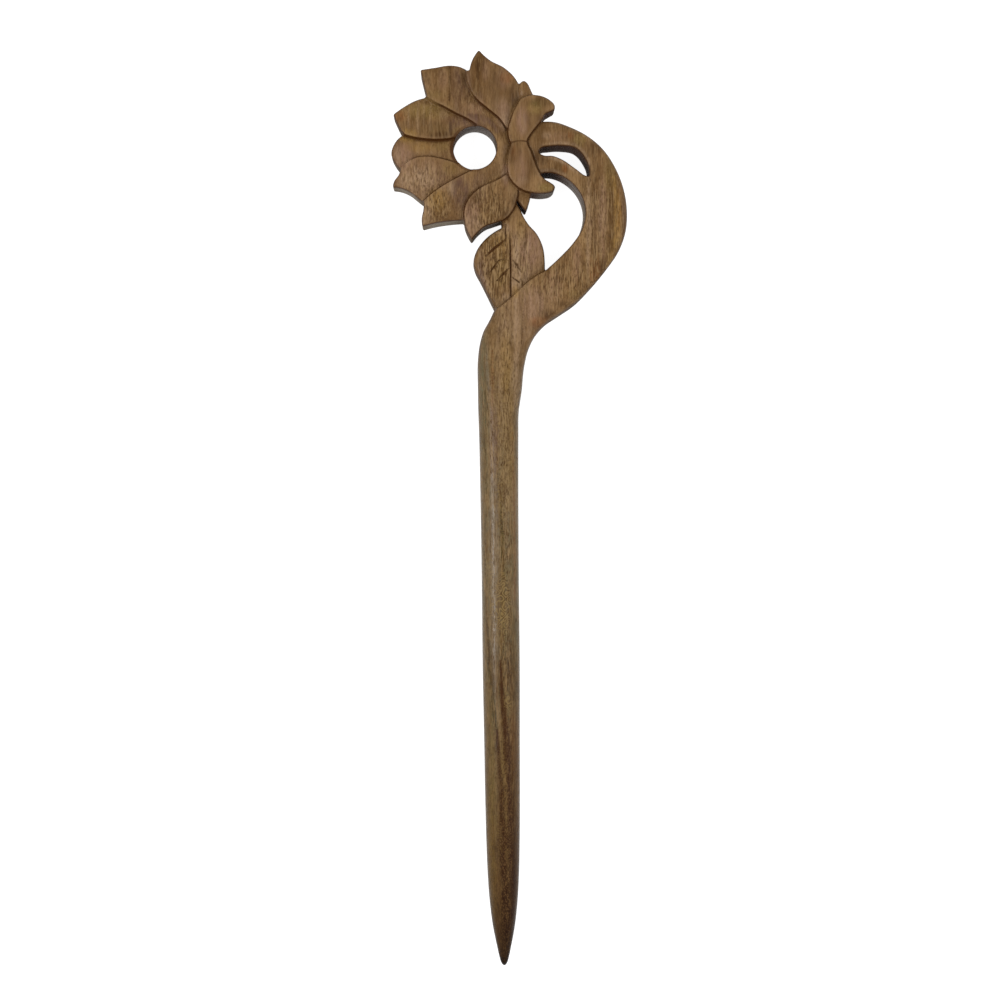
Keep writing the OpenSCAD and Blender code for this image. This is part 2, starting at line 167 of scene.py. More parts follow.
# Lines cut into the tops. Columns: x, y and width.
MIDRIB = [(0, 55.6, 0.15), (0.05, 54, 0.25), (0.15, 50, 0.3), (0.2, 43.2, 0.25)]
RIB = [(-0.9, 57.6, 0.2), (-0.85, 55.8, 0.3), (-0.8, 53.8, 0.15)]
VEINS = [
    [(-0.7, 54.7, 0.3), (-2, 53.6, 0.45), (-3.4, 52.5, 0.55), (-4.7, 51.3, 0.35)],
    [(-0.2, 50.3, 0.1), (-2, 50.4, 0.3), (-3.1, 49.1, 0.4), (-4.2, 47.6, 0.2)],
    [(-0.2, 48.7, 0.2), (-1.3, 47.6, 0.45), (-2.5, 46.3, 0.25)],
    [(0.4, 50.6, 0.2), (1.4, 49.4, 0.4), (2.3, 48, 0.2)],
    [(0.5, 46.9, 0.2), (1.9, 45.9, 0.25)],
]
# The line round the eye is a shallow cut whose darkness is painted shade on the eye's rim
EYE_RIM = [
    (-4.8, 77, 0.3), (-7.2, 77.5, 0.4), (-9.7, 76.7, 0.5), (-11, 75.2, 0.7),
    (-11.6, 72.9, 0.9), (-11, 70.5, 0.7), (-9.6, 69, 0.5), (-7, 68.2, 0.4),
    (-4.4, 69, 0.3),
]
WAIST = [(0.3, 73.8, 0.3), (1.8, 74.1, 0.25), (3.3, 74, 0.3)]

# Columns: line, depth and the darkness of its painted shade
LINES = [(MIDRIB, 0.4, 0.95), (RIB, 0.3, 0.8), (WAIST, 0.2, 0.65), (EYE_RIM, 0.15, 0.95)]
LINES += [(vein, 0.4, dark) for vein, dark in zip(VEINS, (0.95, 0.8, 0.9, 0.55, 0.7))]

# How each piece is cut. Columns: radius of its edges, how far its middle stands
# over its rim, how far from the rim that fades, and the depth, reach and darkness
# of the line cut beside it, its darkness being painted shade.
CUTS = {
    "petal_left": (0.3, 0.22, 1.6, 0, 0.3, 0),
    "petal_left_upper": (0.3, 0.22, 1.8, 0.3, 0.56, 1),
    "petal_left_lower": (0.25, 0.22, 1.8, 0.12, 0.34, 0.7),
    "petal_pair": (0.25, 0.22, 1.8, 0.25, 0.34, 0.9),
    "tip_upper": (0.4, 0.2, 1, 0, 0.3, 0),
    "tip_lower": (0.4, 0.2, 1, 0, 0.3, 0),
    "leaf": (0.4, 0.25, 1.2, 0, 0.3, 0),
    "stem": (0.4, 0, 1.2, 0.12, 0.28, 0.6),
    "petal_bottom": (0.25, 0.26, 1.8, 0.2, 0.34, 0.85),
    "petal_top": (0.28, 0.26, 1.8, 0.25, 0.33, 0.95),
    "calyx": (0.32, 0.28, 1.4, 0.25, 0.31, 0.85),
}
ORDER = list(CUTS)

# Half the width of a cut line, as a share of the width in its table
LINE_HALF = 0.75

# Steepness of a step between two pieces, and the soft hollow beside it: its depth
# as a multiple of the cut line's, and its reach
STEEP = 4.0
HOLLOW = 1.6
HOLLOW_REACH = 2.4

# Height that the pieces' tops are laid on, far below the floor
DEEPEST = -20.0

# How fast the painted shade of a cut line fades across its reach, and how far it comes up over
# the edge beside it
CUT_FADE = 1.6
CUT_OVER = 0.12

# Painted shade, with some oil, darkens the wood beside a cut line: its share of the line's darkness
SOFT_DARK = 0.22
SOFT_REACH = 1.0

# A painted highlight on the edge over a cut line: its strength, the distance of its
# middle from the edge, and its reach
EDGE_HIGHLIGHT = 0.14
EDGE_IN = 0.30
EDGE_REACH = 0.22

# Where the lines between petals run out. Columns: x, y, reach, and the share of
# the line's depth that is left there.
FADES = [
    (-8.2, 86.6, 3.8, 0),
    (-16.2, 82.8, 2.2, 0.15),
    (-21.6, 69.6, 2.4, 0),
    (1.4, 81.6, 2.4, 0.5),
    (1.9, 84.6, 1.6, 0.35),
    (-0.4, 70.6, 2.4, 0.35),
    (-4, 66, 1.4, 0.6),
    (-2.8, 40.8, 1.6, 0.3),
    (1.8, 43.8, 1.2, 0.4),
]

# Colours of the wood in the photograph's light, from 0 to 255
WOOD = {
    "mid": (121, 90, 58),
    "light": (146, 113, 76),
    "dark": (86, 60, 32),
    "fibre": (166, 136, 96),
    "pore": (76, 52, 28),
    "gold": (160, 134, 86),
    # painted shade in the cut lines and along the edges of the walls
    "cut": (74, 45, 14),
    # painted grey reflection and shade on the walls and rims
    "side": (92, 80, 62),
    "sawn": (74, 62, 54),
    "ember": (132, 98, 62),
}
TINTS = {
    "pink": (152, 118, 96),
    "olive": (134, 109, 62),
    "sage": (108, 101, 77),
    "pale": (170, 140, 110),
    "rust": (142, 84, 42),
    "plum": (98, 72, 60),
    "mauve": (118, 92, 78),
    "moss": (68, 58, 28),
    "deep": (66, 43, 22),
    "burnt": (72, 44, 14),
    "honey": (160, 124, 70),
    # painted broad highlight on the round shaft
    "painted_highlight": (136, 120, 102),
}
# Painted light, reflection and shade for the walls: light from the floor, grey reflection of the
# floor, shade, deep shadow and bounce light
WALL_TINTS = {
    "wall_light": (162, 150, 134),
    "wall_reflection": (144, 134, 128),
    "wall_shade": (88, 60, 50),
    "wall_deep_shade": (44, 30, 22),
    "floor_bounce": (176, 168, 160),
}

# Patches of colour, each a soft oval. Columns: x, y, half width, half length and
# strength.
PATCHES = {
    "pink": [
        (-1.4, 87, 1.6, 2.4, 0.4), (-4.8, 88.6, 0.8, 2.4, 0.4), (-1.4, 79.4, 1.3, 3, 0.9),
        (-13.4, 86.6, 1, 2.2, 0.4), (-8, 80.4, 3, 1.6, 0.4), (-6.2, 82, 1, 2, 0.4),
        (-13.6, 81, 1, 1, 0.4), (-21.4, 71.6, 2.2, 3, 0.9), (-17.8, 66.8, 5, 3.8, 0.7),
        (-7.8, 58.4, 1.8, 4.2, 0.9), (-0.9, 67.6, 0.8, 2.2, 0.9), (2.4, 78, 1.2, 3, 0.8),
        (2.2, 68.4, 1.3, 4, 0.5), (4, 52.4, 2.4, 4.6, 0.9), (9.6, 74.8, 2, 1.2, 0.3),
        (18.6, 59, 0.8, 8, 0.7), (13.4, 49.8, 1, 4, 0.5), (4.4, 41.4, 2.6, 3.4, 0.8),
        (8.6, 45, 1.8, 3, 0.6),
    ],
    "deep": [
        # (1, 83.6) below is painted shade where the top petal dips beside the calyx
        (-3.2, 85.4, 1.4, 4, 0.5), (1, 83.6, 1.1, 2.8, 0.8), (-9.3, 87.2, 0.9, 1.3, 0.5),
        (-10, 80.2, 1.8, 1.2, 0.4), (-6.2, 83.2, 1.2, 1.2, 0.4), (-13.6, 75.4, 2.8, 0.9, 0.9),
        (-17.4, 78.6, 0.8, 1.4, 0.5), (-17.8, 64.2, 1.4, 0.4, 0.3), (-13.4, 67.4, 0.9, 0.6, 0.3),
        (-14, 58.8, 3.6, 0.6, 0.4), (-13.2, 60.4, 0.9, 1.4, 0.5), (-4, 61.8, 1.8, 2.4, 0.3),
        (-3.4, 68.8, 1.6, 1.8, 0.35), (-0.6, 59.6, 1.3, 1.5, 0.7), (-4.2, 67, 1.4, 2.6, 0.3),
        (0.4, 72, 1.8, 2.6, 0.6), (4.2, 78.4, 1.6, 1.6, 0.35), (4.7, 69.6, 0.8, 2.6, 0.5),
        # (1.2, 62.2) below is painted shade in the narrow gap by the lower small tip
        (-4.4, 48.2, 1.4, 1.6, 0.35), (6.4, 71, 1.5, 1.8, 0.8), (1.2, 62.2, 1, 1.6, 0.9),
        (13, 75.2, 1.2, 1.2, 0.3), (13.4, 73.4, 1.4, 0.8, 0.5), (19.8, 69.6, 1.2, 1.8, 0.4),
        (9.6, 76.8, 2.4, 1, 0.3), (17.2, 73, 2.2, 1.4, 0.6), (8, 67.8, 3, 0.9, 0.7),
        (15.8, 71.6, 1.6, 1, 0.4), (18.8, 48.8, 1.4, 2, 0.5), (13, 43, 1.4, 1, 0.3),
        (7.6, 39.4, 1.8, 1.2, 0.7), (5.4, 36.8, 1.4, 1.2, 0.4), (10.6, 41.4, 2, 0.7, 0.6),
        (-4.3, 22, 0.7, 5, 0.35), (-1.2, -31.5, 2.4, 4, 0.5), (-0.2, -85, 1.4, 3, 0.5),
        (-3.2, -31, 0.9, 7, 0.4),
    ],
    "rust": [
        (-0.6, 87, 1.6, 1.2, 0.4), (-22.2, 79.4, 1.4, 1.2, 0.4), (0.8, 71.8, 0.6, 1.6, 0.4),
        (12.2, 75.2, 0.5, 0.8, 0.8), (11, 68.6, 0.5, 0.9, 0.7), (17, 47.6, 1.2, 2.8, 0.5),
        (6, 37.8, 2.2, 1.2, 0.5), (0.8, -47, 0.9, 8, 0.4),
    ],
    "pale": [
        (-1, 78.2, 1.1, 1.8, 0.8), (-2, 81.4, 1.6, 2, 0.3), (-16.8, 86.2, 0.8, 2.4, 0.3),
        (-13.2, 79.6, 0.9, 1, 0.5), (-22.6, 71.6, 0.7, 1.8, 0.5), (-20.6, 70.6, 0.6, 1.2, 0.4),
        (-17.8, 66.8, 4.4, 3, 0.25), (-16.4, 67.8, 0.7, 3, 0.3), (-18.8, 68.6, 0.5, 0.8, 0.6),
        (-20.9, 66.6, 1.3, 0.9, 0.8), (-18.8, 66.4, 3.6, 2.2, 0.6), (-17, 63.8, 0.8, 0.8, 0.5),
        (-12.6, 64.8, 2.2, 0.6, 0.3), (-17.8, 67.2, 2.2, 1.4, 0.5), (-16.6, 60.2, 1.3, 3.2, 1),
        (-11.5, 64.6, 0.9, 1.7, 0.9), (-7.4, 57, 2.4, 2.4, 0.6), (-1, 67.4, 0.7, 1.2, 0.6),
        (2.8, 77.4, 0.5, 1.8, 0.3), (2.4, 66, 1.2, 0.9, 0.3), (1.2, 49.6, 0.9, 7.4, 1),
        (2.4, 46.8, 1.4, 2.4, 0.6), (1.2, 45.4, 0.9, 2, 0.9), (-0.6, 56.6, 0.8, 1.2, 0.7),
        (-0.8, 42.8, 0.8, 1, 0.7), (-2.4, 56, 1.4, 1, 0.6), (3.2, 53.2, 0.9, 1.4, 0.5),
        (3.4, 49.6, 0.6, 4.4, 0.4), (-5.8, 51.8, 0.5, 1.6, 0.5), (7.4, 75.2, 1, 0.9, 0.4),
        (17.4, 58.6, 2.2, 6, 0.25), (15.6, 60, 0.9, 4, 0.4), (4, 40, 5.4, 5, 0.35),
        (1.6, 36.4, 3.4, 2.6, 0.35), (-1.2, 34, 1.6, 8, 0.5), (-1.9, 22, 0.8, 14, 0.4),
        (1.2, 26, 0.9, 4.4, 0.4), (0.4, 1.6, 1.6, 4, 0.25), (0.8, -17, 0.8, 3.6, 0.35),
    ],
    "plum": [
        (-10.4, 85.4, 1.4, 4.4, 0.8), (-8.6, 85.6, 0.9, 4, 0.7), (-11, 78.2, 2.4, 1.2, 0.7),
        (-9.8, 64, 1.8, 3.4, 1),
    ],
    "olive": [
        (-15.6, 83.4, 2.4, 1, 0.4), (-16.6, 80.4, 4.6, 1.8, 0.7), (-13.6, 73.2, 1.6, 1.2, 0.4),
        (-12, 68.8, 1.6, 1.4, 0.4), (5, 80.6, 1.6, 1.4, 0.6), (7.2, 64.7, 1.8, 0.9, 0.8),
        (-2, 48.4, 1.4, 3.6, 0.5), (14, 74.4, 1.2, 1.4, 0.9), (20, 68, 1.2, 4, 0.5),
        (12.8, 43.4, 1.4, 0.9, 0.5), (-0.9, -17, 1, 8, 0.6), (-3.6, -62, 1.2, 26, 0.8),
    ],
    "moss": [
        (-14, 76.6, 4.4, 1.6, 0.35), (6, 81.7, 2.2, 1, 0.5), (-1.3, -12, 1.1, 9, 0.2),
    ],
    "honey": [
        (-20.6, 75.4, 1.8, 1.4, 1), (-18, 73.2, 3, 1.2, 0.5), (-14.8, 62.4, 1.8, 2.4, 0.8),
        (-1.8, 54, 1.6, 2, 0.5), (1.2, 44, 0.8, 1.4, 0.7), (2.4, 57, 1.4, 2, 0.5),
        (-1, 30, 1.2, 6, 0.6), (-0.2, 16, 1.1, 14, 0.5),
    ],
    "mauve": [
        (-7, 77.8, 3, 1.2, 0.8), (-6, 64.6, 1.6, 3.6, 0.5), (-5.4, 47.2, 1.1, 4, 1),
        (23, 60, 0.6, 2.6, 0.6), (-3.2, 14, 0.8, 10, 0.8),
    ],
    "sage": [
        (-5.2, 24, 1.1, 14, 1), (-1.4, -14, 8, 44, 0.75),
    ],
    # A painted broad highlight on the round shaft
    "painted_highlight": [(-3.1, -12, 1.2, 22, 0.8)],
    "burnt": [
        (0.9, -60, 0.8, 18, 0.3), (-0.5, -49.4, 0.7, 2.6, 0.8), (-1.2, -67.4, 0.8, 4, 0.9),
        (0.6, -76, 1.4, 12, 0.6), (0.6, -34, 1.6, 3.4, 0.25), (-1.8, -68, 1.4, 3, 0.4),
        (-0.6, -84, 1.4, 10, 0.6),
    ],
}

# Streaks along the grain. Columns: strength, and rows of x, y and width.
STREAKS = {
    "deep": [
        (0.7, [(-6.5, 91.2, 0.3), (-6.4, 88.6, 0.9), (-6.4, 86.4, 0.4)]),
        (0.9, [(-12.1, 89.2, 0.3), (-12, 86, 0.5), (-12.1, 82.2, 0.3)]),
        (0.5, [(-9.8, 88.8, 0.3), (-9.7, 86, 0.5), (-9.9, 83, 0.3)]),
        (0.4, [(-6.4, 80.4, 0.3), (-6.3, 78.4, 0.4)]),
        (0.5, [(-3.6, 79, 0.4), (-3.4, 76, 0.3)]),
        (0.3, [(-13, 78.2, 0.3), (-13, 75.6, 0.4)]),
        (0.5, [(-10.6, 63.4, 0.3), (-10.5, 62, 0.5), (-10.6, 60.4, 0.3)]),
        (0.6, [(-4.2, 52.6, 0.3), (-4.2, 47.8, 0.5), (-4.2, 43.8, 0.4)]),
        (0.5, [(-1.2, 57.6, 0.2), (-1.2, 54.6, 0.4)]),
        (0.4, [(-2.5, 55.6, 0.2), (-2.5, 51.8, 0.4), (-2.5, 44, 0.3)]),
        (0.6, [(16.8, 71, 0.3), (16.8, 60, 0.7), (16.9, 52, 0.9), (17, 46.6, 0.5)]),
        (0.6, [(22.6, 65, 0.3), (23.1, 59.4, 0.5), (22.6, 54, 0.4)]),
        (0.4, [(18, 64, 0.2), (18.1, 56, 0.4), (18.1, 50, 0.2)]),
        (0.8, [(2.4, 42.4, 0.2), (2.45, 38, 0.35), (2.4, 33.6, 0.2)]),
        (0.5, [(6.1, 46, 0.2), (6.1, 40, 0.4)]),
        (0.4, [(3.6, 43.6, 0.2), (3.6, 38.6, 0.35)]),
        (0.7, [(-5, -8, 0.2), (-4.7, -18, 0.4), (-4.5, -25, 0.7), (-4.1, -31, 0.5)]),
        (0.6, [(-0.3, -14, 0.4), (-0.1, -22, 0.8), (0, -31, 1), (0.7, -38, 0.5)]),
        (0.8, [(-1.4, -38, 0.3), (-0.95, -43, 1.3), (-0.5, -49, 1), (0, -55, 0.8), (0.1, -60, 0.4)]),
    ],
    "pale": [
        (0.4, [(-10.8, 82.4, 0.3), (-10.7, 80.6, 0.5)]),
        (0.4, [(-7.4, 81.6, 0.4), (-7.3, 79.2, 0.5)]),
        (0.5, [(-5.2, 80.2, 0.4), (-5, 77.8, 0.4)]),
        (0.5, [(-20.4, 80.8, 0.3), (-20.4, 76.6, 0.4)]),
        (0.5, [(-18.4, 82, 0.3), (-18.5, 78.8, 0.5), (-18.4, 75.8, 0.3)]),
        (0.4, [(-17.2, 82.4, 0.3), (-17.3, 77.6, 0.4)]),
        (0.4, [(-15.9, 82, 0.3), (-15.9, 76.6, 0.4)]),
        (0.4, [(-18.6, 74.6, 0.4), (-18.5, 72.2, 0.5)]),
        (0.3, [(-15.8, 74, 0.3), (-15.8, 71.8, 0.4)]),
        (0.7, [(15.9, 70, 0.4), (15.8, 62, 0.9), (15.7, 52, 0.8), (15.6, 46, 0.3)]),
        (0.6, [(1.3, 43.2, 0.9), (1.3, 36, 1.3), (1.2, 28, 0.9), (0.8, 20, 0.4)]),
        (0.5, [(9.4, 48.6, 0.3), (9.4, 42, 0.4)]),
        # The next streak is a painted highlight along the shaft
        (0.5, [(-2.8, -30, 0.3), (-2.6, -37, 0.6), (-2.2, -43, 0.5), (-1.7, -50, 0.4)]),
    ],
    "plum": [
        # The next streak is painted shade on the wood round the top of the eye
        (0.9, [
            (-12.4, 75.6, 0.8), (-11.4, 77.4, 1.4), (-9.2, 78.8, 1.6), (-6.6, 79, 1.4),
            (-4.2, 78.2, 1.2), (-2.5, 76, 0.8),
        ]),
        (0.8, [(-2.6, 18, 0.3), (-2.6, 8, 0.7), (-2.4, -2, 0.5)]),
    ],
    "honey": [
        (0.8, [(20.8, 67, 0.6), (21.6, 60, 1.6), (21.2, 54, 1.6), (19.6, 49, 0.8)]),
    ],
    "rust": [
        (0.6, [(21.6, 64.4, 0.4), (21.9, 59, 0.9), (21.6, 55, 0.6)]),
        (0.6, [(-3.5, 32, 0.2), (-3.5, 24, 0.4), (-3.7, 18, 0.2)]),
        (0.6, [(0.6, 16, 0.2), (0.8, 6, 0.4), (1, -4, 0.3), (1, -18, 0.2)]),
    ],
    "moss": [
        (0.8, [(-5, 24, 0.2), (-5.1, 16, 0.5), (-5, 8, 0.4), (-4.6, 2, 0.2)]),
        (0.9, [(-2.6, 8, 0.3), (-1.95, -1, 0.8), (-1.5, -7, 1.3), (-1, -14, 0.6)]),
        (1, [(-4.3, -26, 0.4), (-4, -31, 0.8), (-3.4, -37, 0.9), (-2.9, -43, 0.9), (-2.4, -48, 0.7)]),
    ],
    "burnt": [
        (0.9, [(-2.6, -44, 0.4), (-2.3, -49, 0.9), (-1.85, -55, 1), (-1.4, -66, 1.2), (-1, -78, 1)]),
        (1, [
            (-1.9, -30, 0.4), (-1.6, -37, 0.9), (-0.95, -43, 1.3), (-0.5, -49, 1.5), (0, -56, 1.1),
            (0.2, -66, 1.2), (0.5, -74, 1), (0.4, -82, 0.6),
        ]),
        (1, [(-1.5, -58, 0.4), (-1.15, -67, 1.3), (-1.2, -73, 1), (-0.6, -79, 1), (-0.4, -85, 0.8)]),
    ],
}

# Where the grain is coarse, where it hardly shows, where it is crinkled, and where
# handling has rubbed the wood smooth. Columns as for the patches.
GRAIN = {
    "coarse": [
        (-17.6, 66.6, 4.6, 3.4, 0.5), (-14.5, 61, 3, 3.6, 0.7), (-4.6, 61.5, 4.4, 5, 0.7),
        (-7, 82.6, 3, 3.4, 0.3), (-3, 51, 3.4, 8, 1), (2.4, 51, 1.8, 8, 0.6), (18, 58, 6, 12, 0.5),
        (11, 46, 8, 5, 0.6), (-1.6, 20, 4, 18, 0.35), (-0.9, 0, 1.2, 50, 0.6),
        (-0.7, -58, 1.3, 26, 0.9), (-1.5, -20, 6, 70, 0.3),
    ],
    "calm": [
        (4, 78.6, 3.6, 4.6, 0.55), (2.8, 69, 3.4, 4.8, 0.55), (-2, 83.6, 3.6, 4, 0.35),
        (-18.4, 72.6, 5, 1.8, 0.35),
    ],
    "crinkle": [
        (-1.4, -19, 1.6, 7, 1), (-3.8, -15, 0.8, 8, 0.5), (-1, 6, 2.4, 14, 0.35),
        (-1.8, 25, 3.4, 10, 0.25), (-0.6, -38.8, 1, 2.4, 0.9), (-1.6, -50, 1, 5, 0.7),
        (-1.2, -66, 1.4, 7, 0.8),
    ],
    "gloss": [(-3, -14, 4, 22, 1)],
}

# Patches of painted light, painted reflection and painted shade on the walls
WALLS = {
    "wall_shade": [
        (10.6, 71, 6.4, 4.2, 1), (8.4, 68, 2.8, 1.2, 1), (4.4, 63.4, 1.4, 0.8, 0.8),
        (-10.6, 75.4, 1.6, 2.4, 0.6), (6.8, 79.8, 2.2, 1, 0.9), (2.6, 61.6, 1.4, 2, 1),
    ],
    "wall_deep_shade": [(7.6, 67.9, 2.8, 1, 1)],
    "wall_reflection": [
        (14, 64.8, 2.6, 3.4, 0.8), (11.8, 66.6, 2.4, 1.6, 0.7), (-6, 76.6, 5, 2.6, 0.9),
        (-4.6, 57.4, 3, 1.4, 0.6), (7.4, 63.9, 2.2, 1, 0.8),
    ],
    "wall_light": [
        (15.2, 58, 1.6, 4, 0.5), (-20.4, 64.2, 3.6, 2.2, 0.7), (-13.6, 57.8, 4.4, 1.4, 0.7),
    ],
}

# Walls that get painted bounce light from the floor, paler towards the back
BOUNCE_LIT = {
    "floor_bounce": [(-5.6, 76.6, 4.6, 2.6, 0.8), (14, 62.6, 2.8, 5.4, 0.8)],
}

# Edges with a painted highlight, each inside a soft oval. Columns: x, y, half
# width, half length and strength.
HIGHLIT_EDGES = [
    (11.8, 71.4, 5.2, 4, 1),
    (8.6, 68, 4, 1.4, 1),
    (0.4, 66, 1.6, 2.6, 0.4),
    (-20, 64.6, 3, 2, 0.3),
]
HIGHLIGHT_IN = 0.45
HIGHLIGHT_REACH = 0.3

# How dark the shaft gets towards its tip. Columns: y and share of the light left.
SHADE = [
    (-92.2, 0.05), (-90.8, 0.08), (-89.8, 0.22), (-84, 0.36), (-76, 0.46),
    (-66, 0.60), (-52, 0.72), (-36, 0.86), (-20, 0.95), (-4, 1),
]
# The same share is raised to these powers for red, green and blue
SHADE_POWERS = (1, 1.15, 1.6)

# How strongly the sides of the round shaft are darkened with painted shade
SHAFT_SIDE = 0.9

# Rounding of the stem's rims. Columns: y, radius at the carved face and at the back.
STEM_RIMS = [
    (20, 4, 4), (24, 3.6, 3.5), (28, 3, 2.8), (32, 2.4, 2),
    (36, 1.9, 1.1), (40, 1.6, 0.6), (46, 1.3, 0.4), (78, 1.1, 0.4),
]

# Radius of the other rims: at the back, and at the carved face of each kind of piece
RIM_BACK = 0.4
RIM_LEAF = 0.8
RIM_CALYX = 0.55
RIM_PETAL = 0.45
RIM_INNER = 0.35

# Width of the band along a rim that takes the painted grey reflection and shade of the
# walls, as a multiple of its radius, which counts as this much at least
SIDE_BAND = 1.5
SIDE_LEAST = 0.3

# Undersides that are cut back more. Columns: x, y, reach and radius.
UNDERCUTS = [
    (8.8, 80.6, 1.8, 2.6),
    (8.8, 64.6, 1.2, 1.2),
]

# Painted shade as a dark line along the edges of the walls: its strength and reach. It fades out, as
# the look of the sawn walls does, between these two y on the way to the round shaft.
LIP_DARK = 0.7
LIP_REACH = 0.25
SHAFT_TOP = (30, 38)

# Distances between the points of the mesh, and where its rows of points lie: on
# the rims as angles round the edge, beside the steps and cut lines as distances
EDGE_GAP = 0.30
FRONT_GAP = 0.34
BACK_GAP = 1.6
ROW_GAP = 0.045
RIM_ANGLES = (18, 30, 41, 52, 64, 76, 90)
STEP_ROWS = (0.0, 0.06, 0.14, 0.25, 0.40, 0.65, -0.08, -0.17, -0.28, -0.42, -0.65)
LINE_ROWS = (0.0, 0.1, -0.1, 0.2, -0.2, 0.34, -0.34)
WALL_ROWS = (0.02, 0.05, 0.1, 0.25, 0.5, 0.75, 0.9, 0.96)

# Rows along a step lie further than this from the rims, and nothing laid over them
# reaches more than this into them
STEP_CLEAR = 0.2
STEP_COVER = 0.1

# The even points of a sheet keep this share of their gap from the rows, and the
# shaft's rims keep one in so many points
FILL_CLEAR = 0.6
SHAFT_EVERY = 3

# How often the rims' corners, and their radii, are drawn towards their neighbours
CORNER_PASSES = 2
RIM_PASSES = 12

# Points round the eye, the fewest points of a line that isn't a sliver, and the
# distance at which two points become one
EYE_POINTS = 96
LEAST_POINTS = 40
WELD = 0.002

# Most pairs of a point and a line that are compared at once
PAIRS = 3_000_000

# The photograph's camera, in metres: its place, the square that it frames at the
# height of the carved face, its sensor's width and the nearest thing that it sees
CAMERA = (-0.0100, 0.0122, 0.3486)
FRAME_Z = 0.0086
FRAME_SIDE = 0.200
FRAME_MIDDLE = (-0.0020, 0.0022)
SENSOR = 0.036
NEAR_CLIP = 0.01

# The floor, just under the stick: its side and height in metres, and its looks
FLOOR_SIDE = 3.0
FLOOR_Z = -0.00005
FLOOR_LOOKS = {
    "Base Color": (0.3, 0.3, 0.3, 1),
    "Roughness": 0.9,
    "Emission Color": (1, 1, 1, 1),
    "Emission Strength": 0.92,
}

# Strength of the white cloth all round, and the lamps, which face the origin.
# Columns: name, place in metres, size in metres and power in watts.
TENT = 0.70
LAMPS = [
    ("strip", (-0.38, -0.04, 0.44), 0.16, 1.6),
    ("softbox", (0.40, 0.04, 0.46), 0.40, 1.35),
]

# Unevenness left by the knife: its height, its size and which layer of noise it is
UNEVEN = 0.05
UNEVEN_SIZE = 4.0
UNEVEN_SEED = 3.7

# Brightness of a white surface in the studio, how much of it the wood's sheen adds
# everywhere, and the least that is left of a colour
LIGHT = 1.35
SHEEN = 0.008
DARKEST = 0.002

# Noise in the wood. Columns: features a millimetre along x, y and z, detail and
# roughness. The drift pushes the second table's along x, by so many millimetres.
STRAIGHT_NOISE = {
    "drift": ((0.05, 0.03, 0.05), 1, 0.5),
    "mottle": ((0.22, 0.09, 0.22), 3, 0.5),
    "saw": ((0.3, 0.3, 2.6), 2, 0.5),
    "swirl": ((0.8, 0.7, 0.8), 0, 0.5),
}
NOISE = {
    "bands": ((0.30, 0.012, 0.25), 3, 0.6),
    "streaks": ((1.6, 0.10, 1.4), 4, 0.65),
    "fibres": ((3.4, 0.3, 3.4), 3, 0.6),
    "pores": ((5.0, 0.7, 5.0), 1, 0.5),
    "speckle": ((2.4, 1.0, 2.4), 3, 0.7),
    "grit": ((3.6, 2.4, 3.6), 2, 0.7),
    "ragged": ((1.4, 0.3, 1.4), 3, 0.5),
}
DRIFT = 3.0

# Layers of the grain. Columns: noise, the values where it starts and is full, its
# strength and its colour.
LAYERS = [
    ("streaks", 0.50, 0.66, 0.45, "dark"),
    ("speckle", 0.46, 0.60, 0.35, "dark"),
    ("fibres", 0.48, 0.62, 0.35, "fibre"),
    ("pores", 0.55, 0.68, 0.50, "pore"),
]

# Crinkled grain: lines that follow the swirl, so many radians for its whole range
CRINKLES = 34.0


def unit(v):
    return v / max(np.linalg.norm(v), 0.001)


def heading(a, b, c):
    """Direction of a smooth curve at b, on its way from a to c"""
    before = np.linalg.norm(b - a)
    after = np.linalg.norm(c - b)
    return unit(unit(b - a) * after + unit(c - b) * before)


def mirrored(along, t):
    """Direction at a corner that makes the piece of curve close to an arc"""
    return 2 * along * (along @ t) - t


def between(a, ta, b, tb, gap):
    """Points on the curve from a to b, without b"""
    s = np.linalg.norm(b - a)
    count = max(1, math.ceil(s / gap))
    t = (np.arange(count) / count)[:, None]
    start = a * (2 * t**3 - 3 * t**2 + 1) + ta * s * (t**3 - 2 * t**2 + t)
    return start + b * (3 * t**2 - 2 * t**3) + tb * s * (t**3 - t**2)


def area(loop):
    """Area inside a closed line, negative where it runs clockwise"""
    x, y = loop.T
    return (x @ np.roll(y, -1) - y @ np.roll(x, -1)) / 2


def outline(rows, gap=0.15):
    """Closed line through the rows of a table, anticlockwise"""
    spots = [np.array(row[:2], float) for row in rows]
    corner = [len(row) == 3 for row in rows]
    pieces = []
    for i, a in enumerate(spots):
        j = (i + 1) % len(rows)
        b = spots[j]
        along = unit(b - a)
        ta = heading(spots[i - 1], a, b)
        tb = heading(a, b, spots[(j + 1) % len(rows)])
        if corner[i] and corner[j]:
            ta = tb = along
        elif corner[i]:
            ta = mirrored(along, tb)
        elif corner[j]:
            tb = mirrored(along, ta)
        pieces.append(between(a, ta, b, tb, gap))
    loop = np.concatenate(pieces)
    return loop if area(loop) > 0 else loop[::-1]


def open_line(rows, gap=0.2):
    """Open line through the rows of a table, and the width at each of its points"""
    spots = [np.array(row[:2], float) for row in rows]
    last = len(rows) - 2
    pieces = []
    widths = []
    for i in range(last + 1):
        a = spots[i]
        b = spots[i + 1]
        along = unit(b - a)
        ta = along if i == 0 else heading(spots[i - 1], a, b)
        tb = along if i == last else heading(a, b, spots[i + 2])
        piece = between(a, ta, b, tb, gap)
        share = np.arange(len(piece)) / len(piece)
        pieces.append(piece)
        widths.append(rows[i][2] * (1 - share) + rows[i + 1][2] * share)
    pieces.append(spots[-1][None])
    widths.append([rows[-1][2]])
    return np.concatenate(pieces), np.concatenate(widths)


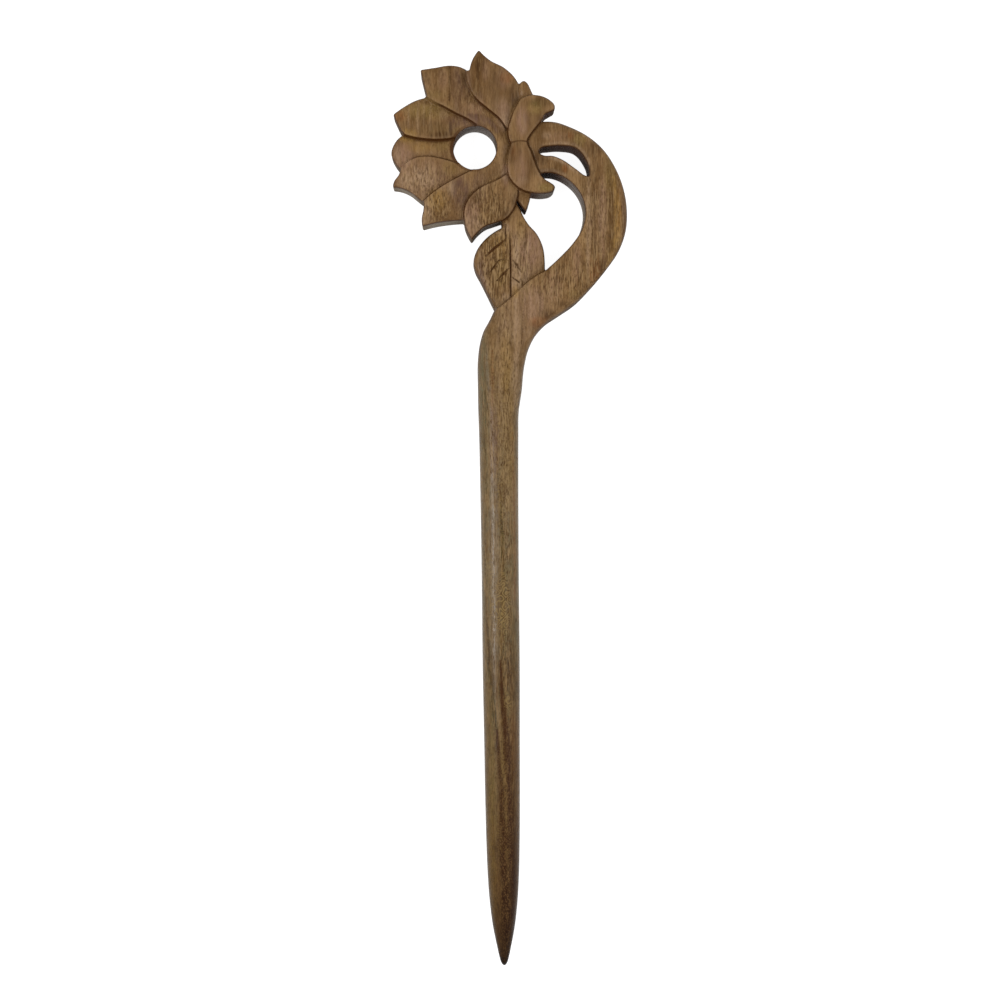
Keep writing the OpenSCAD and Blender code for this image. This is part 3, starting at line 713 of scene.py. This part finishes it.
def resampled(loop, gap):
    """The same closed line with its points the same distance apart"""
    closed = np.vstack([loop, loop[:1]])
    steps = np.linalg.norm(np.diff(closed, axis=0), axis=1)
    run = np.concatenate([[0], np.cumsum(steps)])
    count = max(8, round(run[-1] / gap))
    at = np.linspace(0, run[-1], count, endpoint=False)
    return np.column_stack([np.interp(at, run, closed[:, i]) for i in (0, 1)])


def softened(values, passes):
    """Values round a closed line, each drawn towards its neighbours"""
    for _ in range(passes):
        values = values / 2 + (np.roll(values, 1, 0) + np.roll(values, -1, 0)) / 4
    return values


def leftward(steps):
    """Unit steps to the left of each step"""
    steps = steps / np.linalg.norm(steps, axis=1)[:, None]
    return np.column_stack([-steps[:, 1], steps[:, 0]])


def inward(loop):
    """Direction into the wood at each point of a closed line"""
    return leftward(np.roll(loop, -1, 0) - np.roll(loop, 1, 0))


def runs_of(points, line):
    """Slices of the points, each short enough to compare with the whole line"""
    step = max(1, PAIRS // len(line))
    return [slice(i, i + step) for i in range(0, len(points), step)]


def nearest(points, line, closed=True):
    """Distance of each point from a line, and the place of the nearest spot on it,
    as a whole number for the line's point and a part for the way to the next"""
    a = line if closed else line[:-1]
    b = np.roll(line, -1, 0) if closed else line[1:]
    ab = b - a
    size = np.maximum((ab**2).sum(1), 1e-12)
    far, place = np.empty((2, len(points)))
    for run in runs_of(points, a):
        ap_x = points[run, :1] - a[:, 0]
        ap_y = points[run, 1:] - a[:, 1]
        t = np.clip((ap_x * ab[:, 0] + ap_y * ab[:, 1]) / size, 0, 1)
        d = (ap_x - t * ab[:, 0]) ** 2 + (ap_y - t * ab[:, 1]) ** 2
        j = d.argmin(1)
        rows = np.arange(len(j))
        far[run] = np.sqrt(d[rows, j])
        place[run] = j + t[rows, j]
    return far, place


def inside(points, loop):
    """True for each point inside a closed line"""
    a = loop
    b = np.roll(loop, -1, 0)
    rise = np.where(b[:, 1] == a[:, 1], 1, b[:, 1] - a[:, 1])
    result = np.empty(len(points), bool)
    for run in runs_of(points, a):
        x = points[run, :1]
        y = points[run, 1:]
        spans = (a[:, 1] > y) != (b[:, 1] > y)
        cross = (b[:, 0] - a[:, 0]) * (y - a[:, 1]) / rise + a[:, 0]
        result[run] = (spans & (x < cross)).sum(1) % 2 == 1
    return result


def near_box(points, line, reach):
    """True for each point no further than reach from the line's box"""
    return ((points > line.min(0) - reach) & (points < line.max(0) + reach)).all(1)


def depth_in(points, loop, reach=4.0):
    """How far each point is inside a closed line, negative outside it. Points more
    than reach outside the line's box get minus reach."""
    near = near_box(points, loop, reach)
    result = np.full(len(points), -reach)
    some = points[near]
    far, _ = nearest(some, loop)
    result[near] = np.where(inside(some, loop), far, -far)
    return result


def bell(away, reach):
    """1 at no distance, fading out past the reach"""
    return np.exp(-((away / reach) ** 2))


def read(table, y, column=1):
    """A column of a table, at values of its first column"""
    rows = np.array(sorted(table))
    return np.interp(y, rows[:, 0], rows[:, column])


def shaft_middle(y):
    return SHAFT_X - math.tan(math.radians(SHAFT_LEAN)) * y


def stem_rows():
    """The stem's outline with the round shaft, down to the tip and back"""
    right = [(shaft_middle(y) + r, y) for y, r in SHAFT]
    left = [(shaft_middle(y) - r, y) for y, r in SHAFT[-2::-1]]
    return STEM_RIGHT + right + left + STEM_LEFT


def grown(loop, by):
    """The closed line moved outwards"""
    return loop - inward(loop) * by


def eye_loop():
    turn = np.linspace(0, 2 * math.pi, EYE_POINTS, endpoint=False)
    return EYE + (EYE_R - GROWTH) * np.column_stack([np.cos(turn), np.sin(turn)])


loops = {name: grown(outline(rows), GROWTH) for name, rows in OUTLINES.items()}
loops["stem"] = grown(outline(stem_rows()), GROWTH)
slot_loop = grown(outline(SLOT), -GROWTH)


def triangles(lines, extra=None):
    """Points and triangles between closed lines, with the set of lines round each
    triangle, and for each point the place in the input that it comes from"""
    faces = []
    start = 0
    for line in lines:
        face = list(range(start, start + len(line)))
        faces.append(face if area(line) > 0 else face[::-1])
        start += len(line)
    points = np.concatenate(lines if extra is None else [*lines, extra])
    vectors = [Vector(p) for p in points.tolist()]
    result = delaunay_2d_cdt(vectors, [], faces, 1, 1e-7)
    spots = np.array([tuple(v) for v in result[0]])
    found = [(tuple(t), set(around)) for t, around in zip(result[2], result[5])]
    return spots, found, result[3]


def boundary_loops(kept):
    """Closed runs of the edges that only one of the triangles has, wood on the left"""
    edges = set()
    for a, b, c in kept:
        for edge in ((a, b), (b, c), (c, a)):
            if (edge[1], edge[0]) in edges:
                edges.remove((edge[1], edge[0]))
            else:
                edges.add(edge)
    after = dict(edges)
    runs = []
    while after:
        first, at = after.popitem()
        run = [first]
        while at != first:
            run.append(at)
            at = after.pop(at)
        runs.append(run)
    return runs


def plan():
    """The closed lines of the whole stick: the outer one first, then the holes"""
    solid = [loops[name] for name in ORDER]
    spots, found, _ = triangles([*solid, slot_loop, eye_loop()])
    kept = [t for t, around in found if around and max(around) < len(solid)]
    runs = [spots[run] for run in boundary_loops(kept) if len(run) > LEAST_POINTS]
    return sorted(runs, key=len, reverse=True)


def finished(loop):
    """The closed line with its corners rounded a little, as a knife leaves them, and
    with fewer points along the straight shaft"""
    fine = softened(resampled(loop, EDGE_GAP / 2), CORNER_PASSES)
    loop = resampled(fine, EDGE_GAP)
    along_shaft = (loop[:, 1] < SHAFT_START) & (loop[:, 1] > POINT_START)
    return loop[~along_shaft | (np.arange(len(loop)) % SHAFT_EVERY == 0)]


def soft_oval(points, x, y, across, along):
    """Near 1 inside an oval, falling to 0 outside it"""
    far = ((points[:, 0] - x) / across) ** 2 + ((points[:, 1] - y) / along) ** 2
    return np.exp(-(far**2))


def rim_radii(loop, hole):
    """Radius of the rim at each point of a closed line: at the carved face, and at
    the back"""
    y = loop[:, 1]
    front = np.full(len(loop), RIM_PETAL)
    back = np.full(len(loop), RIM_BACK)
    closest = np.array([nearest(loop, loops[name])[0] for name in ORDER]).argmin(0)
    stem, leaf, calyx = (closest == ORDER.index(name) for name in ("stem", "leaf", "calyx"))
    front[calyx] = RIM_CALYX
    front[leaf] = RIM_INNER if hole else RIM_LEAF
    front[stem] = RIM_INNER if hole else read(STEM_RIMS, y[stem])
    back[stem] = read(STEM_RIMS, y[stem], 2)
    for x, y0, reach, radius in UNDERCUTS:
        back = np.maximum(back, radius * soft_oval(loop, x, y0, reach, reach))
    shaft = y < SHAFT_START
    front = softened(front, RIM_PASSES)
    back = softened(back, RIM_PASSES)
    front[shaft] = read(SHAFT, y[shaft]).clip(0, AXIS_Z)
    back[shaft] = front[shaft]
    return front, back


def petal_plane(name, x, y):
    height, fall, toward = SLOPES[name]
    turn = math.radians(toward)
    away = (x - EYE[0]) * math.cos(turn) + (y - EYE[1]) * math.sin(turn)
    return height - math.tan(math.radians(fall)) * away


def lower_of(a, b, blend):
    """The lower of two heights, with the ridge between them rounded off"""
    return (a + b - np.sqrt((a - b) ** 2 + blend**2)) / 2


def top_of(name, x, y):
    """Height of a piece's top before its rim, middle and edges are worked"""
    if name == "petal_pair":
        upper = petal_plane("petal_upper", x, y)
        return lower_of(upper, petal_plane("petal_lower", x, y), RIDGE)
    if name in SLOPES:
        return np.minimum(petal_plane(name, x, y), BOARD)
    if name == "leaf":
        fall = math.tan(math.radians(LEAF_FALL))
        return LEAF_TOP - fall * np.maximum(LEAF_FLAT[0] - x, x - LEAF_FLAT[1]).clip(0)
    if name == "stem":
        return AXIS_Z + np.where(y < SHAFT_START, read(SHAFT, y), AXIS_Z).clip(0, AXIS_Z)
    if name == "calyx":
        return np.full(len(x), BOARD)
    return np.full(len(x), TIP_TOP)


def rounding(depth, radius):
    """How far a rounded edge has fallen at a depth inside it"""
    share = 1 - np.clip(depth / np.maximum(radius, 0.01), 0, 1)
    return radius * (1 - np.sqrt(1 - share**2))


def line_strength(points):
    """Share of the depth that the lines between pieces have at each point"""
    share = np.ones(len(points))
    for x, y, reach, left in FADES:
        share *= 1 - (1 - left) * soft_oval(points, x, y, reach, reach)
    return share


def carved_face(points):
    """Height of the carved face at each point, how far a rounded edge has fallen
    there, how dark the painted shade of the cut is and how bright the painted
    highlight on the edge"""
    x, y = points.T
    z = np.full(len(points), DEEPEST)
    rounded, dark, edge_highlight = np.zeros((3, len(points)))
    strength = line_strength(points)
    for name in ORDER:
        edge, crown, reach, cut, cut_reach, cut_dark = CUTS[name]
        depth = depth_in(points, loops[name])
        into = np.maximum(depth, 0)
        away = np.maximum(-depth, 0)
        fall = rounding(into, edge)
        level = top_of(name, x, y) - crown * np.exp(-into / reach) - fall - STEEP * away
        if cut:
            z -= HOLLOW * cut * np.clip(1 - away / HOLLOW_REACH, 0, 1) ** 2
            z -= cut * strength * np.clip(1 - away / cut_reach, 0, 1)
            # Painted shade in and beside the cut line
            line = bell(away * CUT_FADE, cut_reach) + SOFT_DARK * bell(away, SOFT_REACH)
            dark = np.maximum(dark, cut_dark * strength * np.minimum(line, 1))
        shown = level > z
        z = np.maximum(z, level)
        rounded = np.where(shown, fall, rounded)
        # Painted highlight on the edge over the cut line
        pale = EDGE_HIGHLIGHT * cut_dark * bell(depth - EDGE_IN, EDGE_REACH)
        edge_highlight = np.where(shown, pale, edge_highlight)
        dark = np.where(shown & (depth > CUT_OVER), 0, dark)
    for rows, cut, cut_dark in LINES:
        line, width = open_line(rows)
        far, place = nearest(points, line, closed=False)
        half = np.interp(place, np.arange(len(line)), width) * LINE_HALF
        share = np.clip(1 - far / half, 0, 1)
        z -= cut * share * (half / half.max())
        # Painted shade in the line
        dark = np.maximum(dark, cut_dark * np.minimum(1, 2 * share) * (half / half.max()))
    return z, rounded, dark, edge_highlight


def rim_at(points):
    """Distance of each point from the nearest rim, and the two radii of that rim"""
    best = np.full(len(points), np.inf)
    front, back = np.zeros((2, len(points)))
    for loop, radii in zip(rims, rim_sizes):
        far, place = nearest(points, loop)
        closer = far < best
        index = np.arange(len(loop) + 1)
        best[closer] = far[closer]
        for sizes, round_rim in zip((front, back), radii):
            sizes[closer] = np.interp(place, index, np.append(round_rim, round_rim[0]))[closer]
    return best, front, back


def uneven(points):
    """Waves of the knife's unevenness at each point, from about -1 to 1"""
    spots = [Vector((x, y, UNEVEN_SEED)) for x, y in (points / UNEVEN_SIZE).tolist()]
    return np.array([noise.noise(spot) for spot in spots])


def face_heights(points):
    """Final height of the face at each point, how dark the painted shade of the cut
    there is and how bright the painted highlight on the edge"""
    z, rounded, dark, edge_highlight = carved_face(points)
    far, front, _ = rim_at(points)
    z -= np.maximum(rounding(far, front) - rounded, 0)
    z += UNEVEN * uneven(points) * np.clip(far, 0, 1)
    # Painted shade along the edges of the face
    dark = np.maximum(dark, LIP_DARK * lip(far, points))
    return np.minimum(z, BOARD), dark, edge_highlight * np.clip(far / RIM_PETAL - 1, 0, 1)


def over_shaft(points):
    """1 on the head, falling to 0 where the round shaft starts"""
    return np.interp(points[:, 1], SHAFT_TOP, (0, 1))


def lip(far, points):
    """Strength of the painted shade line at a distance from an edge, none on the shaft"""
    return bell(far, LIP_REACH) * over_shaft(points)


def back_heights(points):
    """Height of the back at each point"""
    y = points[:, 1]
    far, _, back = rim_at(points)
    lift = AXIS_Z - read(SHAFT, y).clip(0, AXIS_Z)
    return np.where(y < SHAFT_START, lift, 0) + rounding(far, back)


def spread(points, gap, taken):
    """The points, without each that is closer than gap to another one"""
    cells = {}
    for x, y in taken.tolist():
        cells.setdefault((int(x // gap), int(y // gap)), []).append((x, y))
    kept = []
    for x, y in points.tolist():
        i = int(x // gap)
        j = int(y // gap)
        around = [cells.get((a, b), ()) for a in (i - 1, i, i + 1) for b in (j - 1, j, j + 1)]
        if all((x - u) ** 2 + (y - v) ** 2 >= gap**2 for cell in around for u, v in cell):
            cells.setdefault((i, j), []).append((x, y))
            kept.append((x, y))
    return np.array(kept)


def grid(gap):
    """Points over the whole plan, each row shifted by half a step"""
    low = rims[0].min(0)
    high = rims[0].max(0)
    rise = gap * math.sqrt(3) / 2
    ys = np.arange(low[1], high[1], rise)
    xs = np.arange(low[0], high[0], gap)
    return np.array([(x + gap / 2 * (i % 2), y) for i, y in enumerate(ys) for x in xs])


def rim_rows(side):
    """Rows of points beside the rims, on the curve of the face's or the back's edge"""
    rows = []
    for loop, radii in zip(rims, rim_sizes):
        for angle in RIM_ANGLES:
            share = 1 - math.cos(math.radians(angle))
            rows.append(loop + inward(loop) * (radii[side] * share)[:, None])
    return np.concatenate(rows)


def step_rows():
    """Rows of points along each step that shows between two pieces"""
    rows = []
    for i, name in enumerate(ORDER):
        line = resampled(loops[name], EDGE_GAP)
        shown = rim_at(line)[0] > STEP_CLEAR
        for other in ORDER[i + 1 :]:
            shown &= depth_in(line, loops[other]) < STEP_COVER
        into = inward(line)
        rows.extend((line + into * shift)[shown] for shift in STEP_ROWS)
    return np.concatenate(rows)


def line_rows():
    """Rows of points along each line cut into a top"""
    rows = []
    for table, _, _ in LINES:
        line, _ = open_line(table)
        side = leftward(np.gradient(line, axis=0))
        rows.extend(line + side * shift for shift in LINE_ROWS)
    return np.concatenate(rows)


def sheet(rows, gap):
    """Points and triangles over the plan, with the rims' points first"""
    edge = np.concatenate(rims)
    rows = spread(rows, ROW_GAP, edge)
    fill = spread(grid(gap), gap * FILL_CLEAR, np.concatenate([edge, rows]))
    extra = np.concatenate([rows, fill])
    extra = extra[rim_at(extra)[0] > ROW_GAP / 2]
    spots, found, origins = triangles(rims, extra)
    place = {origin: i for i, origins_here in enumerate(origins) for origin in origins_here}
    wood = [t for t, around in found if around == {0}]
    first = [place[i] for i in range(len(edge))]
    rest = sorted(set(i for t in wood for i in t) - set(first))
    order = {old: new for new, old in enumerate(first + rest)}
    return spots[first + rest], [tuple(order[i] for i in t) for t in wood]


def wood_mesh():
    """The whole stick as one closed mesh: its points and faces, and for each point
    how dark the painted shade of the cut there is and how bright the painted
    highlight on the edge"""
    front_rows = np.concatenate([step_rows(), line_rows(), rim_rows(0)])
    front, front_faces = sheet(front_rows, FRONT_GAP)
    back, back_faces = sheet(rim_rows(1), BACK_GAP)
    front_z, dark, edge_highlight = face_heights(front)
    back_z = back_heights(back)
    edge = sum(len(loop) for loop in rims)
    front_z[:edge] = np.maximum(front_z[:edge], back_z[:edge])
    height = front_z[:edge] - back_z[:edge]
    points = [np.column_stack([front, front_z])]
    darks = [dark]
    faces = list(front_faces)
    rows = [np.arange(edge)]
    start = len(front)
    for share in WALL_ROWS:
        points.append(np.column_stack([front[:edge], front_z[:edge] - height * share]))
        # Painted shade at the top and the foot of each wall
        darks.append(LIP_DARK * lip(height * min(share, 1 - share), front[:edge]))
        rows.append(np.arange(start, start + edge))
        start += edge
    points.append(np.column_stack([back, back_z]))
    rows.append(np.arange(start, start + edge))
    faces.extend((start + c, start + b, start + a) for a, b, c in back_faces)
    for upper, lower in zip(rows, rows[1:]):
        at = 0
        for loop in rims:
            for i in range(len(loop)):
                a = at + i
                b = at + (i + 1) % len(loop)
                faces.append((upper[b], upper[a], lower[a], lower[b]))
            at += len(loop)
    # Painted shade along the rims of the back
    darks.append(LIP_DARK * lip(rim_at(back)[0], back))
    points = np.concatenate(points)
    edge_highlight = np.concatenate([edge_highlight, np.zeros(len(points) - len(edge_highlight))])
    return points, faces, {"cut": np.concatenate(darks), "edge_highlight": edge_highlight}


rims = [finished(run) for run in plan()]
rim_sizes = [rim_radii(loop, i > 0) for i, loop in enumerate(rims)]


def colour(rgb):
    """The shader's colour for wood that looks so in the photograph's light"""
    parts = [c / 255 for c in rgb]
    linear = [c / 12.92 if c <= 0.04045 else ((c + 0.055) / 1.055) ** 2.4 for c in parts]
    return [max(c - SHEEN, DARKEST) / LIGHT for c in linear] + [1.0]


COLOURS = {name: colour(rgb) for name, rgb in (WOOD | TINTS | WALL_TINTS).items()}


class Nodes:
    """Makes the nodes of one material and links them"""

    def __init__(self, name):
        self.material = bpy.data.materials.new(name)
        self.material.use_nodes = True
        self.tree = self.material.node_tree
        self.shader = self.tree.nodes["Principled BSDF"]

    def add(self, kind, inputs, **settings):
        made = self.tree.nodes.new(kind)
        for key, value in settings.items():
            setattr(made, key, value)
        for key, value in inputs.items():
            self.set(made.inputs[key], value)
        return made

    def set(self, socket, value):
        if isinstance(value, bpy.types.NodeSocket):
            self.tree.links.new(value, socket)
        else:
            socket.default_value = value

    def math(self, operation, a, b=0.0):
        return self.add("ShaderNodeMath", {0: a, 1: b}, operation=operation).outputs[0]

    def times(self, *values):
        """Product of sockets and numbers"""
        product = values[0]
        for value in values[1:]:
            product = self.math("MULTIPLY", product, value)
        return product

    def mix(self, share, a, b, blend="MIX"):
        made = self.add("ShaderNodeMix", {}, data_type="RGBA", blend_type=blend)
        self.set(made.inputs["Factor"], share)
        self.set(made.inputs[6], a)
        self.set(made.inputs[7], b)
        return made.outputs[2]

    def between(self, value, low, high, to_low=0.0, to_high=1.0):
        """Smooth step from one value to another"""
        inputs = {0: value, 1: low, 2: high, 3: to_low, 4: to_high}
        made = self.add("ShaderNodeMapRange", inputs, interpolation_type="SMOOTHSTEP")
        return made.outputs[0]

    def noise(self, place, per_mm, detail, roughness):
        """Noise with so many features a millimetre along x, y and z"""
        scale = [count / MM for count in per_mm]
        scaled = self.add("ShaderNodeMapping", {"Vector": place, "Scale": scale})
        inputs = {"Vector": scaled.outputs[0], "Scale": 1, "Detail": detail}
        made = self.add("ShaderNodeTexNoise", inputs | {"Roughness": roughness})
        return made.outputs["Fac"]

    def attribute(self, name):
        return self.add("ShaderNodeAttribute", {}, attribute_name=name).outputs["Fac"]

    def lay(self, tint, *shares):
        """Lays a colour over the wood so far, with the product of the shares"""
        self.wood = self.mix(self.times(*shares), self.wood, COLOURS[tint])

    def look(self, name, value):
        """Sets or links an input of the shader itself"""
        self.set(self.shader.inputs[name], value)


def walnut():
    """Oiled walnut with its grain along y"""
    n = Nodes("walnut")
    coarse, calm, crinkled = (n.attribute(name) for name in ("coarse", "calm", "crinkle"))
    side = n.attribute("side")
    shade = n.attribute("shade")

    # Noise
    place = n.add("ShaderNodeTexCoord", {}).outputs["Object"]
    straight = {name: n.noise(place, *row) for name, row in STRAIGHT_NOISE.items()}
    shift = n.add("ShaderNodeCombineXYZ", {"X": n.times(straight["drift"], DRIFT * MM)})
    bent = n.add("ShaderNodeVectorMath", {0: place, 1: shift.outputs[0]}).outputs[0]
    noises = {name: n.noise(bent, *row) for name, row in NOISE.items()}
    ragged = n.between(noises["ragged"], 0.36, 0.60, 0.55, 1.0)

    # Broad bands, then the tints, with gold flecks where the wood is olive or coarse
    n.wood = COLOURS["mid"]
    n.lay("light", n.between(noises["bands"], 0.36, 0.62))
    n.lay("dark", n.between(straight["mottle"], 0.46, 0.66, 0, 0.6))
    for name in TINTS:
        n.lay(name, n.attribute(name), ragged)
    gold = n.math("MAXIMUM", n.attribute("olive"), n.times(coarse, 0.8))
    n.lay("gold", gold, n.between(noises["grit"], 0.50, 0.62, 0, 0.45))

    # Grain, strong where it is coarse and weak where it is calm or crinkled
    calm = n.math("MAXIMUM", calm, n.times(crinkled, 0.4))
    grain = n.times(n.between(coarse, 0.0, 1.0, 0.7, 2.0), n.math("SUBTRACT", 1.0, calm))
    for name, low, high, strength, tint in LAYERS:
        n.lay(tint, n.between(noises[name], low, high, 0, strength), grain)
    swirl = n.math("SINE", n.times(straight["swirl"], CRINKLES))
    n.lay("dark", crinkled, 0.45)
    n.lay("gold", crinkled, n.between(swirl, -0.3, 0.7, 0, 0.6))
    n.lay("burnt", n.attribute("burnt"), ragged, 0.8)

    # Painted highlights on edges, painted shade and reflection on sawn walls, painted shade in cuts
    n.lay("pale", n.attribute("edge_highlight"))
    n.lay("side", side, 0.85)
    for name in WALL_TINTS:
        n.lay(name, n.attribute(name))
    n.lay("sawn", side, n.between(straight["saw"], 0.40, 0.64, 0, 0.6))
    n.lay("cut", n.between(n.attribute("cut"), 0.05, 0.95, 0, 0.9))

    # The dark end of the shaft, with flecks that stay pale
    dims = {i: n.math("POWER", shade, power) for i, power in enumerate(SHADE_POWERS)}
    dims = n.add("ShaderNodeCombineColor", dims).outputs[0]
    n.wood = n.mix(1.0, n.wood, dims, "MULTIPLY")
    flecks = n.between(noises["grit"], 0.50, 0.60)
    n.lay("ember", n.math("SUBTRACT", 1.0, shade), flecks, coarse)
    n.look("Base Color", n.wood)

    # Sheen and relief
    pore = n.between(noises["pores"], 0.55, 0.68)
    rough = n.between(noises["fibres"], 0.3, 0.7, 0.30, 0.42)
    rough = n.math("SUBTRACT", rough, n.times(n.attribute("gloss"), 0.12))
    rough = n.math("ADD", rough, n.times(pore, 0.2))
    n.look("Roughness", n.math("MAXIMUM", rough, n.times(side, 0.9)))
    n.look("Specular IOR Level", 0.10)
    relief = n.math("SUBTRACT", n.times(noises["fibres"], 0.35), pore)
    bump = n.add("ShaderNodeBump", {"Height": relief, "Distance": 0.05 * MM, "Strength": 0.5})
    n.look("Normal", bump.outputs[0])
    return n.material


def patches(table, points):
    """Strength of each name of a table at each point"""
    shares = {}
    for name, rows in table.items():
        left = np.ones(len(points))
        for x, y, across, along, strength in rows:
            left *= 1 - strength * soft_oval(points, x, y, across, along)
        shares[name] = 1 - left
    return shares


def add_streak(share, points, strength, rows):
    """Lays one streak of the grain over the patches of its tint"""
    line, width = open_line(rows, gap=0.5)
    near = near_box(points, line, width.max())
    far, place = nearest(points[near], line, closed=False)
    half = np.interp(place, np.arange(len(line)), width) / 2
    share[near] = 1 - (1 - share[near]) * (1 - strength * np.exp(-((far / half) ** 4)))


def shades(points, normals):
    """Everything that colours the wood by its place, as named values at each point"""
    flat = points[:, :2]
    far, front, _ = rim_at(flat)
    near_rim = np.clip(SIDE_BAND - far / np.maximum(front, SIDE_LEAST), 0, 1)
    # How far each point faces sideways near a rim: where the walls' painted reflection and shade go,
    # and their roughness
    side = (1 - np.abs(normals[:, 2])) ** 2 * near_rim
    head = over_shaft(flat)
    shares = patches(PATCHES, flat) | patches(GRAIN, flat)
    for name, streaks in STREAKS.items():
        for strength, rows in streaks:
            add_streak(shares[name], flat, strength, rows)
    # Painted shade on the sides of the round shaft, in the moss tint
    shares["moss"] = np.maximum(shares["moss"], SHAFT_SIDE * side * (1 - head))
    side = side * head
    # Painted light, reflection and shade on the walls, and painted bounce light from the floor, paler
    # towards the back
    for name, share in patches(WALLS, flat).items():
        shares[name] = share * side
    low = np.clip(1 - points[:, 2] / (BOARD / 2), 0, 1)
    shares["floor_bounce"] = patches(BOUNCE_LIT, flat)["floor_bounce"] * side * low
    # Painted highlights on the edges in the table, laid in the pale tint
    edge_highlight = [strength * soft_oval(flat, *oval) for *oval, strength in HIGHLIT_EDGES]
    edge_highlight = np.max(edge_highlight, axis=0) * bell(far - HIGHLIGHT_IN, HIGHLIGHT_REACH)
    shares["pale"] = np.maximum(shares["pale"], edge_highlight)
    shares["shade"] = read(SHADE, points[:, 1])
    shares["side"] = side
    return shares


def mark(mesh, values):
    """Stores named values at the mesh's points, where the material reads them"""
    for name, column in values.items():
        mesh.attributes.new(name, "FLOAT", "POINT").data.foreach_set("value", column)


def placed(name, data):
    """A new object in the scene"""
    made = bpy.data.objects.new(name, data)
    bpy.context.scene.collection.objects.link(made)
    return made


def stick():
    """The stick's object"""
    points, faces, marks = wood_mesh()
    mesh = bpy.data.meshes.new("carved_stick")
    mesh.from_pydata((points * MM).tolist(), [], faces)
    mark(mesh, marks)
    work = bmesh.new()
    work.from_mesh(mesh)
    bmesh.ops.remove_doubles(work, verts=work.verts, dist=WELD * MM)
    work.to_mesh(mesh)
    work.free()
    mesh.shade_smooth()
    spots = np.array([vertex.co for vertex in mesh.vertices]) / MM
    normals = np.array([vertex.normal for vertex in mesh.vertices])
    mark(mesh, shades(spots, normals))
    mesh.materials.append(walnut())
    return placed("carved_stick", mesh)


def add_camera():
    """Looks straight down, as the photograph's camera does, from over the eye"""
    data = bpy.data.cameras.new("camera")
    data.sensor_width = SENSOR * 1000
    data.lens = SENSOR * 1000 * (CAMERA[2] - FRAME_Z) / FRAME_SIDE
    data.shift_x = (FRAME_MIDDLE[0] - CAMERA[0]) / FRAME_SIDE
    data.shift_y = (FRAME_MIDDLE[1] - CAMERA[1]) / FRAME_SIDE
    data.clip_start = NEAR_CLIP
    camera = placed("camera", data)
    camera.location = CAMERA
    bpy.context.scene.camera = camera


def add_floor():
    """Plain pale floor that glows, as a light table does"""
    mesh = bpy.data.meshes.new("floor")
    side = FLOOR_SIDE / 2
    corners = [(-side, -side), (side, -side), (side, side), (-side, side)]
    mesh.from_pydata([(x, y, FLOOR_Z) for x, y in corners], [], [(0, 1, 2, 3)])
    white = Nodes("white_floor")
    for name, value in FLOOR_LOOKS.items():
        white.look(name, value)
    mesh.materials.append(white.material)
    placed("floor", mesh)


def add_lamp(name, place, size, power):
    data = bpy.data.lights.new(name, "AREA")
    data.size = size
    data.energy = power
    lamp = placed(name, data)
    lamp.location = place
    lamp.rotation_euler = (-Vector(place)).to_track_quat("-Z", "Y").to_euler()


def add_tent():
    world = bpy.data.worlds.new("tent")
    world.use_nodes = True
    background = world.node_tree.nodes["Background"]
    background.inputs["Color"].default_value = (1, 1, 1, 1)
    background.inputs["Strength"].default_value = TENT
    bpy.context.scene.world = world


add_camera()
add_floor()
for row in LAMPS:
    add_lamp(*row)
add_tent()
bpy.context.scene.view_settings.view_transform = "Standard"

piece = stick()
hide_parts("hair_stick")
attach(piece, "root")
